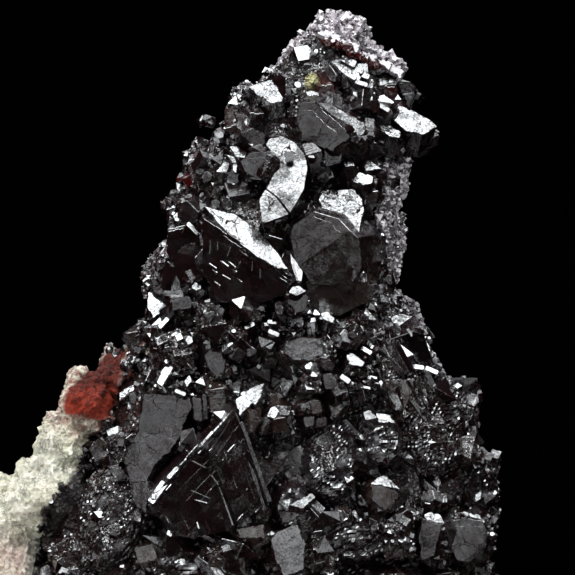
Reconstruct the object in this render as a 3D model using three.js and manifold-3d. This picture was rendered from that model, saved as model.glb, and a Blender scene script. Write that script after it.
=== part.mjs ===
// Cuprite specimen: a spire of dark crystals grown together over a slab of pale host rock, with one
// grain of malachite near the top. Millimetres, +Z up. The crystals face -Y and the bare rock faces +Y.
//
// Three pieces: matrix_rock (the host rock, with its front lobes), cuprite_crystals (every crystal and
// the crust that joins them, one solid) and malachite_grain.

import * as THREE from "three";
import { mergeVertices } from "three/addons/utils/BufferGeometryUtils.js";
import Module from "manifold-3d";

const wasm = await Module();
wasm.setup();

// ---------------------------------------------------------------- driving dimensions

const CONTACT_GAP = 0.3; // clearance between the pieces
const LEAST_EDGE = 0.4; // shorter edges are closed up
const MOST_DRIFT = 0.2; // the most that closing an edge may bend a flat face
const TINY_FACE = 0.01; // twice the area below which a triangle has no say in that
const SEAM_LOW = 3.5; // y of the line between crust and rock at the base
const SEAM_HIGH = 1.5; // and at the top
const SEAM_TOP_Z = 70;
const CRUST_BACK = 3; // how far the crust reaches behind the seam
const ROCK_FRONT = 4; // how far the rock reaches in front of the seam
const SECTION_POWER = 2.5; // 2 is an ellipse, more is boxier
const SECTION_POINTS = 14;

// The crust at each height: z, left edge, right edge, front.
const CRUST_LEVELS = [
  [0, -22, 25, -13],
  [8, -22.8, 27.8, -13.6],
  [16, -20, 28.4, -13.6],
  [23, -15.4, 27.4, -13],
  [30, -12, 24.6, -12],
  [37, -9, 20.6, -10.8],
  [44, -7, 15.8, -9.6],
  [52, -4.8, 15.8, -8.4],
  [59, -0.8, 19, -7],
  [64, 3.6, 17.6, -5.6],
  [69, 8.8, 14, -4.2],
];

// The host rock at each height: z, left edge, right edge, back.
const ROCK_LEVELS = [
  [0, -26, 26, 14],
  [6, -29, 29, 14.6],
  [12, -29.6, 29.6, 14.8],
  [18, -26.2, 29.8, 14.3],
  [24, -21.2, 28.6, 13.7],
  [30, -17.2, 25.8, 12.8],
  [37, -9.6, 21.6, 11.8],
  [45, -7.6, 17.6, 10.8],
  [54, -5, 17.8, 9.4],
  [61, 0.2, 19, 7.8],
  [67, 6, 16, 6],
  [70.6, 9, 14.6, 4.4],
];

// ---------------------------------------------------------------- seeded chance

let chanceState = 20817;

function chance(low = 0, high = 1) {
  chanceState = (chanceState * 1103515245 + 12345) % 2147483648;
  return low + (high - low) * (chanceState / 2147483648);
}

// ---------------------------------------------------------------- solids and levels

function solidOf(geometry) {
  geometry.deleteAttribute("normal");
  geometry.deleteAttribute("uv");
  const merged = mergeVertices(geometry, 1e-5);
  return new wasm.Manifold(new wasm.Mesh({
    numProp: 3,
    vertProperties: new Float32Array(merged.attributes.position.array),
    triVerts: new Uint32Array(merged.index.array),
  }));
}

function joined(solids) {
  return wasm.Manifold.union(solids);
}

function largestBody(solid) {
  return solid.decompose().sort((a, b) => b.volume() - a.volume())[0];
}

// The row of a level table at height z, worked out between its neighbours.
function levelAt(levels, z) {
  const above = levels.findIndex((row) => row[0] >= z);
  if (above <= 0) return above === 0 ? levels[0] : levels[levels.length - 1];
  const low = levels[above - 1];
  const high = levels[above];
  const share = (z - low[0]) / (high[0] - low[0]);
  return low.map((value, column) => THREE.MathUtils.lerp(value, high[column], share));
}

function seamY(z) {
  return THREE.MathUtils.lerp(SEAM_LOW, SEAM_HIGH, Math.min(z / SEAM_TOP_Z, 1));
}

// y of the crust's front face at x, z.
function crustFront(x, z) {
  const [, left, right, front] = levelAt(CRUST_LEVELS, z);
  const across = Math.min(Math.abs((2 * x - left - right) / (right - left)), 0.97);
  const bulge = (1 - across ** SECTION_POWER) ** (1 / SECTION_POWER);
  return seamY(z) + (front - seamY(z)) * bulge;
}

// The point that stands `out` in front of the crust at x, z.
function onCrust(x, z, out) {
  return new THREE.Vector3(x, crustFront(x, z) - out, z);
}

// A solid through rings of points, each ring level and anticlockwise seen from above.
function loft(rings) {
  const count = rings[0].length;
  const points = rings.flat();
  const triangles = [];
  for (let level = 0; level < rings.length - 1; level += 1) {
    for (let i = 0; i < count; i += 1) {
      const a = level * count + i;
      const b = level * count + ((i + 1) % count);
      triangles.push(a, b, b + count, a, b + count, a + count);
    }
  }
  const top = (rings.length - 1) * count;
  for (let i = 1; i < count - 1; i += 1) {
    triangles.push(0, i + 1, i);
    triangles.push(top, top + i, top + i + 1);
  }
  const geometry = new THREE.BufferGeometry().setFromPoints(points);
  geometry.setIndex(triangles);
  return solidOf(geometry);
}

// A rounded-box ring at height z. Its edge wavers inwards by up to the given share.
function ring(z, left, right, front, back, middle, waver) {
  const points = [];
  for (let i = 0; i < SECTION_POINTS; i += 1) {
    const angle = (2 * Math.PI * i) / SECTION_POINTS;
    const reach = chance(1 - waver, 1);
    const c = Math.cos(angle);
    const s = Math.sin(angle);
    const x = Math.sign(c) * Math.abs(c) ** (2 / SECTION_POWER) * reach;
    const y = Math.sign(s) * Math.abs(s) ** (2 / SECTION_POWER) * reach;
    points.push(new THREE.Vector3(
      (left + right) / 2 + (x * (right - left)) / 2,
      middle + y * (s < 0 ? middle - front : back - middle),
      z,
    ));
  }
  return points;
}

// The crust, made larger all round by `grow`; a grown crust reaches below the rock's base, so
// that cutting with it leaves no film there.
function crust(grow) {
  chanceState = 411;
  const last = CRUST_LEVELS.length - 1;
  return loft(CRUST_LEVELS.map(([z, left, right, front], i) => {
    const height = z + (i === last ? grow : 0) - (i === 0 ? grow : 0);
    return ring(height, left - grow, right + grow, front - grow,
      seamY(z) + CRUST_BACK + grow, seamY(z), 0.05);
  }));
}

function rockSlab() {
  chanceState = 97;
  return loft(ROCK_LEVELS.map(([z, left, right, back]) => (
    ring(z, left, right, seamY(z) - ROCK_FRONT, back, seamY(z), 0.09)
  )));
}

// ---------------------------------------------------------------- bodies bounded by planes

// A convex solid inside planes of { normal, reach }: every point p has normal . p <= reach.
function boundedBy(planes, grow = 0) {
  const reaches = planes.map((plane) => plane.reach + grow);
  const corners = [];
  const onPlane = planes.map(() => []);
  const cross = new THREE.Vector3();
  for (let i = 0; i < planes.length; i += 1) {
    for (let j = i + 1; j < planes.length; j += 1) {
      cross.crossVectors(planes[i].normal, planes[j].normal);
      for (let k = j + 1; k < planes.length; k += 1) {
        const spread = cross.dot(planes[k].normal);
        if (Math.abs(spread) < 1e-4) continue;
        const jk = new THREE.Vector3().crossVectors(planes[j].normal, planes[k].normal);
        const ki = new THREE.Vector3().crossVectors(planes[k].normal, planes[i].normal);
        const corner = jk.multiplyScalar(reaches[i])
          .addScaledVector(ki, reaches[j])
          .addScaledVector(cross, reaches[k])
          .divideScalar(spread);
        if (planes.some((plane, m) => plane.normal.dot(corner) > reaches[m] + 1e-5)) continue;
        let index = corners.findIndex((known) => known.distanceTo(corner) < 1e-3);
        if (index < 0) index = corners.push(corner) - 1;
        [i, j, k].forEach((m) => {
          if (!onPlane[m].includes(index)) onPlane[m].push(index);
        });
      }
    }
  }
  const triangles = [];
  planes.forEach((plane, m) => {
    const around = onPlane[m];
    if (around.length < 3) return;
    const centre = new THREE.Vector3();
    around.forEach((index) => centre.addScaledVector(corners[index], 1 / around.length));
    const side = corners[around[0]].clone().sub(centre).normalize();
    const up = new THREE.Vector3().crossVectors(plane.normal, side);
    const turnOf = (index) => {
      const spoke = corners[index].clone().sub(centre);
      return Math.atan2(spoke.dot(up), spoke.dot(side));
    };
    around.sort((a, b) => turnOf(a) - turnOf(b));
    for (let i = 1; i < around.length - 1; i += 1) {
      triangles.push(around[0], around[i], around[i + 1]);
    }
  });
  const geometry = new THREE.BufferGeometry().setFromPoints(corners);
  geometry.setIndex(triangles);
  return solidOf(geometry);
}

// The direction that looks out at the viewer, turned to the right and tilted up, in degrees.
function facing(turn, tilt) {
  const t = THREE.MathUtils.degToRad(turn);
  const e = THREE.MathUtils.degToRad(tilt);
  return new THREE.Vector3(Math.sin(t) * Math.cos(e), -Math.cos(t) * Math.cos(e), Math.sin(e));
}

// A crystal known by its front face: a convex outline in x, z, on a plane that faces turn, tilt and
// stands `out` in front of the crust at the point `on`. Its sides widen backwards by `flare` degrees.
// A second front face, { turn, tilt, at }, meets the first along a ridge through `at`.
function faced(outline, {
  turn = 0, tilt = 0, out = 2.5, deep = 4, flare = 20, on = null, second = null,
} = {}) {
  const normal = facing(turn, tilt);
  const mid = [0, 1].map((axis) => outline.reduce((sum, p) => sum + p[axis], 0) / outline.length);
  const [x0, z0] = on ?? mid;
  const anchor = onCrust(x0, z0, out);
  const onFront = ([x, z]) => {
    const lift = (normal.x * (x - x0) + normal.z * (z - z0)) / -normal.y;
    return new THREE.Vector3(x, anchor.y + lift, z);
  };
  const corners = outline.map(onFront);
  const centre = new THREE.Vector3();
  corners.forEach((corner) => centre.addScaledVector(corner, 1 / corners.length));
  const planes = [
    { normal, reach: normal.dot(anchor) },
    { normal: normal.clone().negate(), reach: deep - normal.dot(anchor) },
  ];
  if (second) {
    const face = facing(second.turn, second.tilt);
    planes.push({ normal: face, reach: face.dot(onFront(second.at)) });
  }
  const lean = THREE.MathUtils.degToRad(flare);
  corners.forEach((corner, i) => {
    const next = corners[(i + 1) % corners.length];
    const outward = next.clone().sub(corner).cross(normal).normalize();
    if (outward.dot(centre) > outward.dot(corner)) outward.negate();
    const wall = outward.multiplyScalar(Math.cos(lean)).addScaledVector(normal, Math.sin(lean));
    planes.push({ normal: wall, reach: wall.dot(corner) });
  });
  return planes;
}

const SIGNS = [-1, 1];
const OCTAHEDRON_FACES = SIGNS.flatMap((x) => SIGNS.flatMap((y) => SIGNS.map((z) => [x, y, z])));
const CUBE_FACES = SIGNS.flatMap((s) => [[s, 0, 0], [0, s, 0], [0, 0, s]]);

// A free crystal of cubic symmetry: habit gives the distance of its octahedron faces and of its cube
// faces as shares of its size, or 0 for none. The face `front` is turned to face turn, tilt.
function grown(centre, size, habit, { turn = 0, tilt = 0, spin = 0, front = [1, 1, 1] } = {}) {
  const pose = new THREE.Quaternion().setFromAxisAngle(facing(turn, tilt), spin)
    .multiply(new THREE.Quaternion().setFromUnitVectors(
      new THREE.Vector3(...front).normalize(), facing(turn, tilt)));
  return [OCTAHEDRON_FACES, CUBE_FACES].flatMap((faces, i) => (habit[i] === 0 ? [] : faces.map((face) => {
    const normal = new THREE.Vector3(...face).normalize().applyQuaternion(pose);
    return { normal, reach: normal.dot(centre) + size * habit[i] };
  })));
}

// A rough lump at x, y, z: a ball of random planes, with a half size along each axis.
function lump(x, y, z, [rx, ry, rz], planeCount = 13) {
  const centre = new THREE.Vector3(x, y, z);
  const planes = [];
  for (let i = 0; i < planeCount; i += 1) {
    const rise = 1 - (2 * (i + 0.5)) / planeCount;
    const angle = i * 2.4 + chance(-0.35, 0.35);
    const flat = Math.sqrt(1 - rise * rise);
    const normal = new THREE.Vector3(flat * Math.cos(angle), flat * Math.sin(angle), rise);
    const reach = Math.hypot(normal.x * rx, normal.y * ry, normal.z * rz) * chance(0.8, 1);
    planes.push({ normal, reach: normal.dot(centre) + reach });
  }
  return planes;
}

// ---------------------------------------------------------------- the crystals

// Outlines are x, z in the specimen's own frame before it is centred.

function summitCrystals() {
  return [
    faced([[10.7, 66.7], [11.8, 67.4], [13.3, 67.1], [14.5, 64.6], [13.9, 64], [12.2, 65.4]],
      { turn: 4, tilt: 36, out: 2, deep: 2.4, flare: 6 }),
    faced([[14.2, 64.7], [15.9, 64.5], [15.8, 63.5], [14.5, 63.6]], { tilt: 38, out: 2.2 }),
    faced([[13.2, 63.8], [14, 63.8], [15.7, 62.9], [15.8, 62.1], [14.8, 62.1], [13.6, 62.7]],
      { turn: 6, tilt: 36, out: 2.8, deep: 3 }),
    faced([[16.4, 65.2], [17.8, 65.3], [18.6, 64.3], [18.5, 64], [16.4, 63.9]],
      { tilt: 40, out: 1.6, deep: 3 }),
    faced([[18.4, 64.5], [20.2, 64.3], [20.9, 63.3], [19, 63]], { turn: 18, tilt: 14, out: 0.6 }),
    faced([[10, 67], [10.6, 66.7], [11.8, 65], [11.7, 64.2], [11, 64.4], [10.4, 65.6]],
      { turn: -25, tilt: 12, out: 1.8, deep: 3 }),
    faced([[10, 63.8], [11.4, 63.9], [11.8, 62.8], [11, 62.1], [10, 62.6]],
      { turn: 10, tilt: -6, out: 2.2 }),
    faced([[13.7, 66.5], [15.2, 66.3], [15.3, 65.2], [14.4, 65]], { turn: 14, tilt: 24, out: 1.8 }),
    faced([[16.9, 63.9], [18.4, 63.7], [18.6, 62.6], [17.2, 62.4]], { turn: 8, tilt: -8, out: 2 }),
    faced([[2.1, 63.7], [4, 64.3], [5.9, 65], [6.1, 63.6], [5.8, 62], [4.6, 61.8], [3, 62.8]],
      { turn: -6, tilt: 32, out: 3, deep: 4 }),
    faced([[6.1, 62], [6.2, 64.6], [7, 64.7], [7.1, 62]], { turn: 26, tilt: 4, out: 2.2, deep: 3 }),
  ];
}

function ledgeCrystals() {
  return [
    faced([[18.1, 61.1], [20, 61.3], [21.8, 60.2], [22.9, 59.3], [21.3, 58.4], [19, 58.7], [17.9, 60]],
      { turn: 8, tilt: 33, out: 2.2, deep: 2.6, flare: -4, on: [19.4, 59.8] }),
    faced([[19.6, 58.4], [21.6, 58.4], [23.3, 58.9], [23, 57.3], [21, 56.2], [19.8, 56.6]],
      { turn: 16, tilt: -8, out: 1, deep: 5, flare: 6, on: [19, 57.5] }),
    faced([[16, 62.3], [17, 62.9], [18.2, 62], [17.4, 61.3]], { turn: 4, tilt: 32, out: 2.6 }),
    faced([[16, 62], [17.6, 61.6], [18, 60.6], [17.4, 59.9], [16.2, 60.4]],
      { turn: -10, tilt: 4, out: 3 }),
    faced([[16.4, 60], [17.4, 59.7], [18.9, 58.7], [18.7, 58], [17.6, 58.2], [16.5, 59]],
      { turn: 4, tilt: 35, out: 2.8, deep: 2.6 }),
    faced([[12.8, 54], [13.8, 54.6], [15.8, 53.8], [15.7, 53], [14.8, 52.8], [13.6, 53.2]],
      { turn: 4, tilt: 34, out: 3.4, deep: 3 }),
    faced([[14.4, 55.4], [15, 55.8], [16.8, 54.6], [15, 54.4]], { tilt: 38, out: 3, deep: 3 }),
    faced([[14.3, 52.1], [16.5, 52.8], [17, 52.3], [16.7, 51.8], [15, 51.8]],
      { turn: 6, tilt: 36, out: 2.6, deep: 3 }),
    faced([[13.6, 57.4], [16, 57.6], [17.2, 56.2], [15.8, 55.6], [13.8, 56]],
      { turn: 10, tilt: -10, out: 2.2 }),
  ];
}

function pyramidCrystals() {
  return [
    faced([[7.8, 61.9], [9.4, 61.9], [12.8, 58.8], [13.2, 57.9], [11.3, 56.5], [8, 57.8], [7.4, 60]],
      { turn: -10, tilt: 3, out: 4.4, deep: 7, flare: 26 }),
    faced([[9.4, 62], [11, 61.7], [15, 59.6], [14.8, 58.4], [13.3, 57.8], [12.8, 58.8]],
      { turn: 20, tilt: 28, out: 3.9, deep: 6, flare: 10 }),
    faced([[14.9, 60.3], [16, 60.1], [15.9, 58.2], [14.8, 58.3]], { turn: 8, tilt: 20, out: 2.8 }),
    faced([[8, 57.3], [9.2, 57.5], [10.2, 56.5], [8.4, 56]], { turn: -6, tilt: 24, out: 4.2 }),
    faced([[10.3, 56.6], [12.4, 56.8], [12.2, 55.2], [10.6, 54.8]], { turn: 12, tilt: 2, out: 3.2 }),
  ];
}

// The kidney-shaped plate is three convex parts of one plane.
function crescentPlate() {
  const plane = { turn: -4, tilt: 25, out: 4.4, deep: 1.8, flare: -6, on: [6, 53.5] };
  return [
    faced([[4, 57.2], [4.4, 57.9], [5.8, 58.2], [7.2, 57.5], [8.3, 56.2], [5.7, 55.4], [4.8, 56.3]], plane),
    faced([[4.1, 52.4], [5.7, 55.6], [8.3, 56.3], [8.6, 54.6], [8.2, 52.3], [7.4, 50.9], [6.7, 49.7]], plane),
    faced([[4, 52.35], [6.6, 49.6], [4.2, 48.7], [3.6, 48.7], [3.3, 51.2]], plane),
    faced([[4.2, 57.6], [8, 57.4], [8.2, 52], [6, 50], [4, 50.4]],
      { turn: -2, tilt: 4, out: 2.4, deep: 4 }),
  ];
}

function leftShoulderCrystals() {
  return [
    faced([[2.3, 60.8], [3.9, 60.7], [3.6, 59.3], [2.2, 59.5]], { turn: 10, tilt: -12, out: 3, flare: 6 }),
    faced([[1.2, 58.5], [2.6, 59.1], [4, 58.4], [3.9, 57.3], [2.6, 56.9]], { turn: 10, tilt: 6, out: 3 }),
    faced([[0, 57], [0.8, 57.2], [2, 56.4], [1.7, 55.8], [0.8, 55.9]], { tilt: 36, out: 2.6 }),
    faced([[1.2, 55.4], [2.4, 56.4], [4.6, 56.5], [4.9, 56], [3.6, 54.1], [3, 53.5], [1.8, 54.2]],
      { turn: -12, tilt: 8, out: 4.6, deep: 4, flare: 10 }),
    faced([[4.7, 56], [5.7, 55.3], [5.5, 54.3], [4.2, 52.9], [3.4, 53.4], [3.6, 54.2]],
      { turn: 26, tilt: -12, out: 4.6, deep: 4, flare: 10 }),
    faced([[-4.4, 54], [-1.4, 56.6], [-0.6, 53.2], [-3.4, 51.4]], { turn: -16, tilt: -6, out: 1.4 }),
    faced([[-5.6, 50.8], [-3.4, 51], [-3, 48.8], [-5.4, 48.6]],
      { turn: -10, tilt: 8, out: 1.4, flare: 4 }),
    faced([[-6.8, 48], [-4.6, 48.5], [-3.2, 47], [-3.2, 44.6], [-6, 43.8], [-6.9, 45.5]],
      { turn: -8, tilt: -10, out: 2.4, deep: 5, flare: 4 }),
    faced([[-3.4, 47.8], [-2.6, 48.1], [-2.3, 46.4], [-3.1, 46.1]], { turn: -12, tilt: 12, out: 3.2 }),
    faced([[-3.8, 44.8], [-2.7, 46.1], [-2.4, 43.4], [-3, 42.4]], { turn: 14, tilt: 6, out: 3 }),
    faced([[-8.5, 41.6], [-7.3, 42.2], [-6.4, 43.2], [-4.6, 40.9], [-6, 40.3], [-8.2, 41]],
      { turn: -14, tilt: 16, out: 2, deep: 4 }),
    faced([[-6.3, 40.2], [-4.4, 40.7], [-4, 40], [-4.2, 39.3], [-6.2, 39.1]], { tilt: 12, out: 2.6 }),
    faced([[-8.9, 41.1], [-6.9, 40.2], [-6.8, 39.5], [-8.4, 38.2], [-9.1, 39.5]],
      { turn: -18, tilt: 28, out: 2.6, deep: 4 }),
  ];
}

// A large dark crystal whose long top face shows as a bright blade.
function bladeCrystal() {
  return [
    faced([[-2.9, 49.4], [2, 46.1], [6.5, 43], [6.4, 41], [3, 39.6], [-1.4, 40], [-3, 44]],
      { turn: -5, tilt: -9, out: 4.2, deep: 8, flare: 6 }),
    faced([[-2.7, 50.5], [0.7, 49.6], [3.2, 47.9], [5.4, 45.3], [6.5, 43.6], [5.2, 43.7], [3, 45],
      [0.3, 47.1], [-1.2, 48.7]],
    { turn: 17, tilt: 32, out: 4.5, deep: 4, flare: 4, on: [2, 47.2] }),
    faced([[6.7, 45.4], [8.1, 43.3], [7.9, 42.2], [7.4, 42.3], [6.8, 44.2]],
      { turn: 20, tilt: 28, out: 4.6, deep: 3 }),
  ];
}

// The largest crystal: a broad front of two faces, with an etched bright top face.
function giantCrystal() {
  return [
    faced([[9.8, 51.2], [10.2, 52.3], [13.7, 52.4], [14.6, 51.3], [14.8, 50], [14.1, 46.9], [10.6, 49.3]],
      { turn: 6, tilt: 32, out: 3.6, deep: 5, flare: 4, on: [12.4, 49.8] }),
    faced([[6.7, 47.2], [7, 48.4], [9.3, 49.9], [12, 49.1], [14, 47], [14.2, 44], [13, 42], [9, 42.2],
      [7.2, 44.6]],
    { turn: -7, tilt: 3, out: 4.8, deep: 8, flare: 16, on: [10.6, 46.6],
      second: { turn: 0, tilt: -7, at: [10.4, 45.9] } }),
    faced([[13.9, 47.2], [15, 48.4], [15.6, 44], [14.2, 43.4]], { turn: 30, tilt: -4, out: 3.6, deep: 6 }),
    faced([[8.4, 42.2], [12, 42.8], [15.2, 42.3], [15.3, 40], [12, 38.4], [9, 39]],
      { turn: 5, tilt: -22, out: 2.4, deep: 6 }),
  ];
}

function waistCrystals() {
  return [
    faced([[6.5, 41], [8.4, 41.1], [8.7, 40.4], [8.3, 39.1], [7.3, 38.8], [6.4, 39.9]],
      { turn: -6, tilt: -2, out: 4.7, deep: 4, flare: 12 }),
    faced([[-2.7, 34.2], [-2.1, 34.7], [-0.9, 34.5], [-0.3, 33.5], [-0.5, 32.4], [-1.3, 31.8], [-2.2, 32.8]],
      { turn: -6, tilt: 8, out: 3.4 }),
    faced([[6.2, 35.6], [8, 36.2], [10, 36], [10.3, 34.3], [8.8, 33.6], [7, 33.7], [6, 34.5]],
      { turn: 3, tilt: 12, out: 3.4, deep: 4 }),
    faced([[7.8, 33.6], [10.8, 34], [11, 32.3], [8.2, 31.8]], { turn: 4, tilt: -20, out: 3 }),
    faced([[-6.1, 34.1], [-3.9, 34.5], [-3.7, 32.2], [-5.8, 31.7]], { turn: 8, tilt: -18, out: 2.8 }),
    faced([[-7.7, 31.6], [-6.5, 33.3], [-6, 32.8], [-7.2, 30.9]], { turn: -12, tilt: 34, out: 2.6 }),
    faced([[1.2, 40], [3.8, 39.4], [3.6, 37.8], [1, 37.9]], { turn: 8, tilt: -14, out: 2.6 }),
    faced([[-3.6, 39.6], [-0.8, 39.8], [-0.6, 37.2], [-3, 36.8]], { turn: -12, tilt: 4, out: 2.4 }),
    faced([[-0.6, 36.6], [1.8, 36.8], [2.6, 34.4], [0.2, 33.8]], { turn: 14, tilt: -8, out: 2.6 }),
    faced([[11.8, 37.2], [14.2, 37.8], [14.6, 35.6], [12, 35.2]], { turn: -10, tilt: -4, out: 2.6 }),
    faced([[14.6, 41.4], [17, 41.6], [17.2, 38.8], [15, 38.6]], { turn: 18, tilt: -4, out: 1.6 }),
  ];
}

function rightFlankCrystals() {
  return [
    faced([[12.8, 34.2], [13.4, 34.5], [14.9, 33.4], [14.5, 32.9], [13.1, 33.2]], { tilt: 33, out: 3 }),
    faced([[10, 33.8], [11, 34], [11.6, 33.1], [11.2, 32.5], [10.1, 32.9]], { turn: 6, tilt: 8, out: 3.6 }),
    faced([[10.2, 32.1], [11.2, 32.3], [11.8, 31.4], [11.4, 30.6], [10.5, 30.5]],
      { turn: -4, tilt: 6, out: 3.6 }),
    faced([[11.2, 30.5], [12.4, 31.4], [13.1, 30.2], [11.5, 29.7]], { turn: 10, tilt: 14, out: 3.4 }),
    faced([[8, 32], [10, 32.2], [10.1, 30.2], [8.2, 29.9]], { turn: -6, tilt: -8, out: 3.2 }),
    faced([[17.3, 38.5], [19, 38.7], [20.3, 38.4], [20.2, 37], [19.2, 36.7], [18.2, 37.5]],
      { turn: 10, tilt: 34, out: 1.8, deep: 3 }),
    faced([[19.9, 35.4], [21.7, 35.8], [22.1, 35], [21, 34]], { turn: 12, tilt: 32, out: 1.4, deep: 3 }),
    faced([[22.5, 30.5], [23.7, 31.8], [24.2, 30]], { turn: 24, tilt: 8, out: 1.4 }),
    faced([[16, 27.9], [17.6, 27.7], [18.2, 26.8], [16.3, 26.9]], { turn: 6, tilt: 30, out: 2.8 }),
    faced([[16.6, 33.6], [19, 34], [19.4, 31], [17, 30.6]], { turn: 16, tilt: -6, out: 2 }),
    faced([[18.6, 30], [21.4, 30.4], [21.8, 27.4], [19, 27]], { turn: 14, tilt: 2, out: 2 }),
    faced([[20.6, 26.4], [23.8, 26.8], [24, 23.4], [21, 23]], { turn: 20, tilt: -8, out: 2.2 }),
    faced([[24.2, 29.2], [26.2, 28.4], [26.6, 25.4], [24.6, 25.2]], { turn: 34, tilt: 6, out: 1.2 }),
    faced([[23.2, 20], [24.5, 20.7], [25.3, 19.8], [24.3, 18.2], [23.2, 19]],
      { turn: 8, tilt: 12, out: 2.6 }),
    faced([[21.8, 18.6], [24, 18.7], [23.9, 17.4], [22, 17.3]], { turn: 10, tilt: -12, out: 2.2 }),
    faced([[25.4, 23.6], [27.6, 23.2], [28, 20.6], [25.8, 20.8]], { turn: 30, tilt: -4, out: 1.4 }),
    faced([[14.2, 19.9], [15.2, 20.6], [17, 21.1], [17.7, 20.4], [18.5, 19.7], [16.2, 19.8]],
      { turn: 2, tilt: 36, out: 2.8, deep: 3 }),
    faced([[14.4, 19.8], [18.3, 19.7], [17.8, 17.8], [16.6, 17.1], [14.9, 17.9]],
      { turn: 5, tilt: 0, out: 3.2 }),
    grown(onCrust(12.3, 16.4, 1.6), 1.1, [1, 1.1], { turn: -10, tilt: 10 }),
    grown(onCrust(14.3, 13.8, 1.6), 1.3, [1, 1], { turn: 12, tilt: 14, spin: 0.6 }),
    faced([[21.3, 16.8], [22, 17.1], [23.1, 16.8], [23.6, 15.9], [23, 15.4], [21.6, 16]],
      { turn: 2, tilt: 40, out: 2.8, deep: 3 }),
    faced([[21.1, 16.4], [23.3, 15.7], [22.9, 14.4], [22.4, 12.3], [21, 11.8], [20.7, 14.2]],
      { turn: -8, tilt: 3, out: 3.2, deep: 5 }),
    faced([[23.7, 16.4], [24.5, 17.2], [26, 17], [27.4, 16.7], [28.1, 15.8], [25.6, 15.9]],
      { turn: 4, tilt: 40, out: 2.6, deep: 3 }),
    faced([[23.7, 16.1], [25.7, 16.4], [27.8, 16], [28.3, 14.9], [28.2, 13.2], [26.4, 11.5], [25, 11.7],
      [24.2, 13.2]],
    { turn: 7, tilt: -1, out: 3.2, deep: 5, on: [25.6, 14] }),
  ];
}

// The broad grey plate on the left, in two steps and a tail.
function greySlab() {
  return [
    faced([[-9.3, 30], [-6, 29.8], [-4.2, 29.3], [-4, 28.6], [-4.8, 27], [-5.5, 25], [-9.9, 25.6],
      [-9.8, 27]],
    { turn: -9, tilt: 8, out: 3.2, deep: 6, flare: 10, on: [-7, 27] }),
    faced([[-9.9, 25.9], [-5.4, 25.2], [-6.5, 23.6], [-7.8, 22.6], [-9, 20.4], [-10.8, 20.4],
      [-11.4, 22.8], [-10.7, 24.4]],
    { turn: -11, tilt: 10, out: 3.4, deep: 6, flare: 10, on: [-8.4, 23.6] }),
    faced([[-10.5, 20.4], [-9, 20.6], [-8.7, 19.4], [-9, 17], [-10, 17.7], [-10.7, 19.4]],
      { turn: -16, tilt: 12, out: 3 }),
    faced([[-13.2, 24.6], [-11.4, 25.4], [-11.4, 22.6], [-13.4, 21.8]], { turn: -24, tilt: -4, out: 2 }),
    faced([[-15.6, 20.4], [-12.4, 21.4], [-11.6, 18.4], [-15, 17.2]], { turn: -18, tilt: 2, out: 2.2 }),
    faced([[-12.4, 32.2], [-10.2, 33.4], [-9.2, 31.2], [-11.4, 29.6]], { turn: -26, tilt: 4, out: 1.4 }),
  ];
}

// The broad dark table low on the left, with a raised step and bright bevels.
function darkTable() {
  const bevel = { turn: -26, tilt: 28, deep: 4, flare: 6 };
  return [
    faced([[-8.6, 18.4], [-6.7, 20.6], [-1, 26.5], [0.5, 28.4], [1.6, 26], [4.2, 18.2], [4, 16.8],
      [0.6, 15.3], [-4, 14.3], [-6.5, 14.8]],
    { turn: 5, tilt: -8, out: 4.6, deep: 8, flare: 14, on: [-1, 20] }),
    faced([[-2.2, 23.8], [0.2, 27.3], [3, 20], [3.8, 17.6], [0.9, 15.9]],
      { turn: 7, tilt: -7, out: 5.1, flare: 8, on: [1, 20] }),
    faced([[-8.8, 18.4], [-7, 20.8], [-6, 21.4], [-6.2, 20.7], [-8, 18.2]], { ...bevel, out: 5.4 }),
  ];
}

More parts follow.
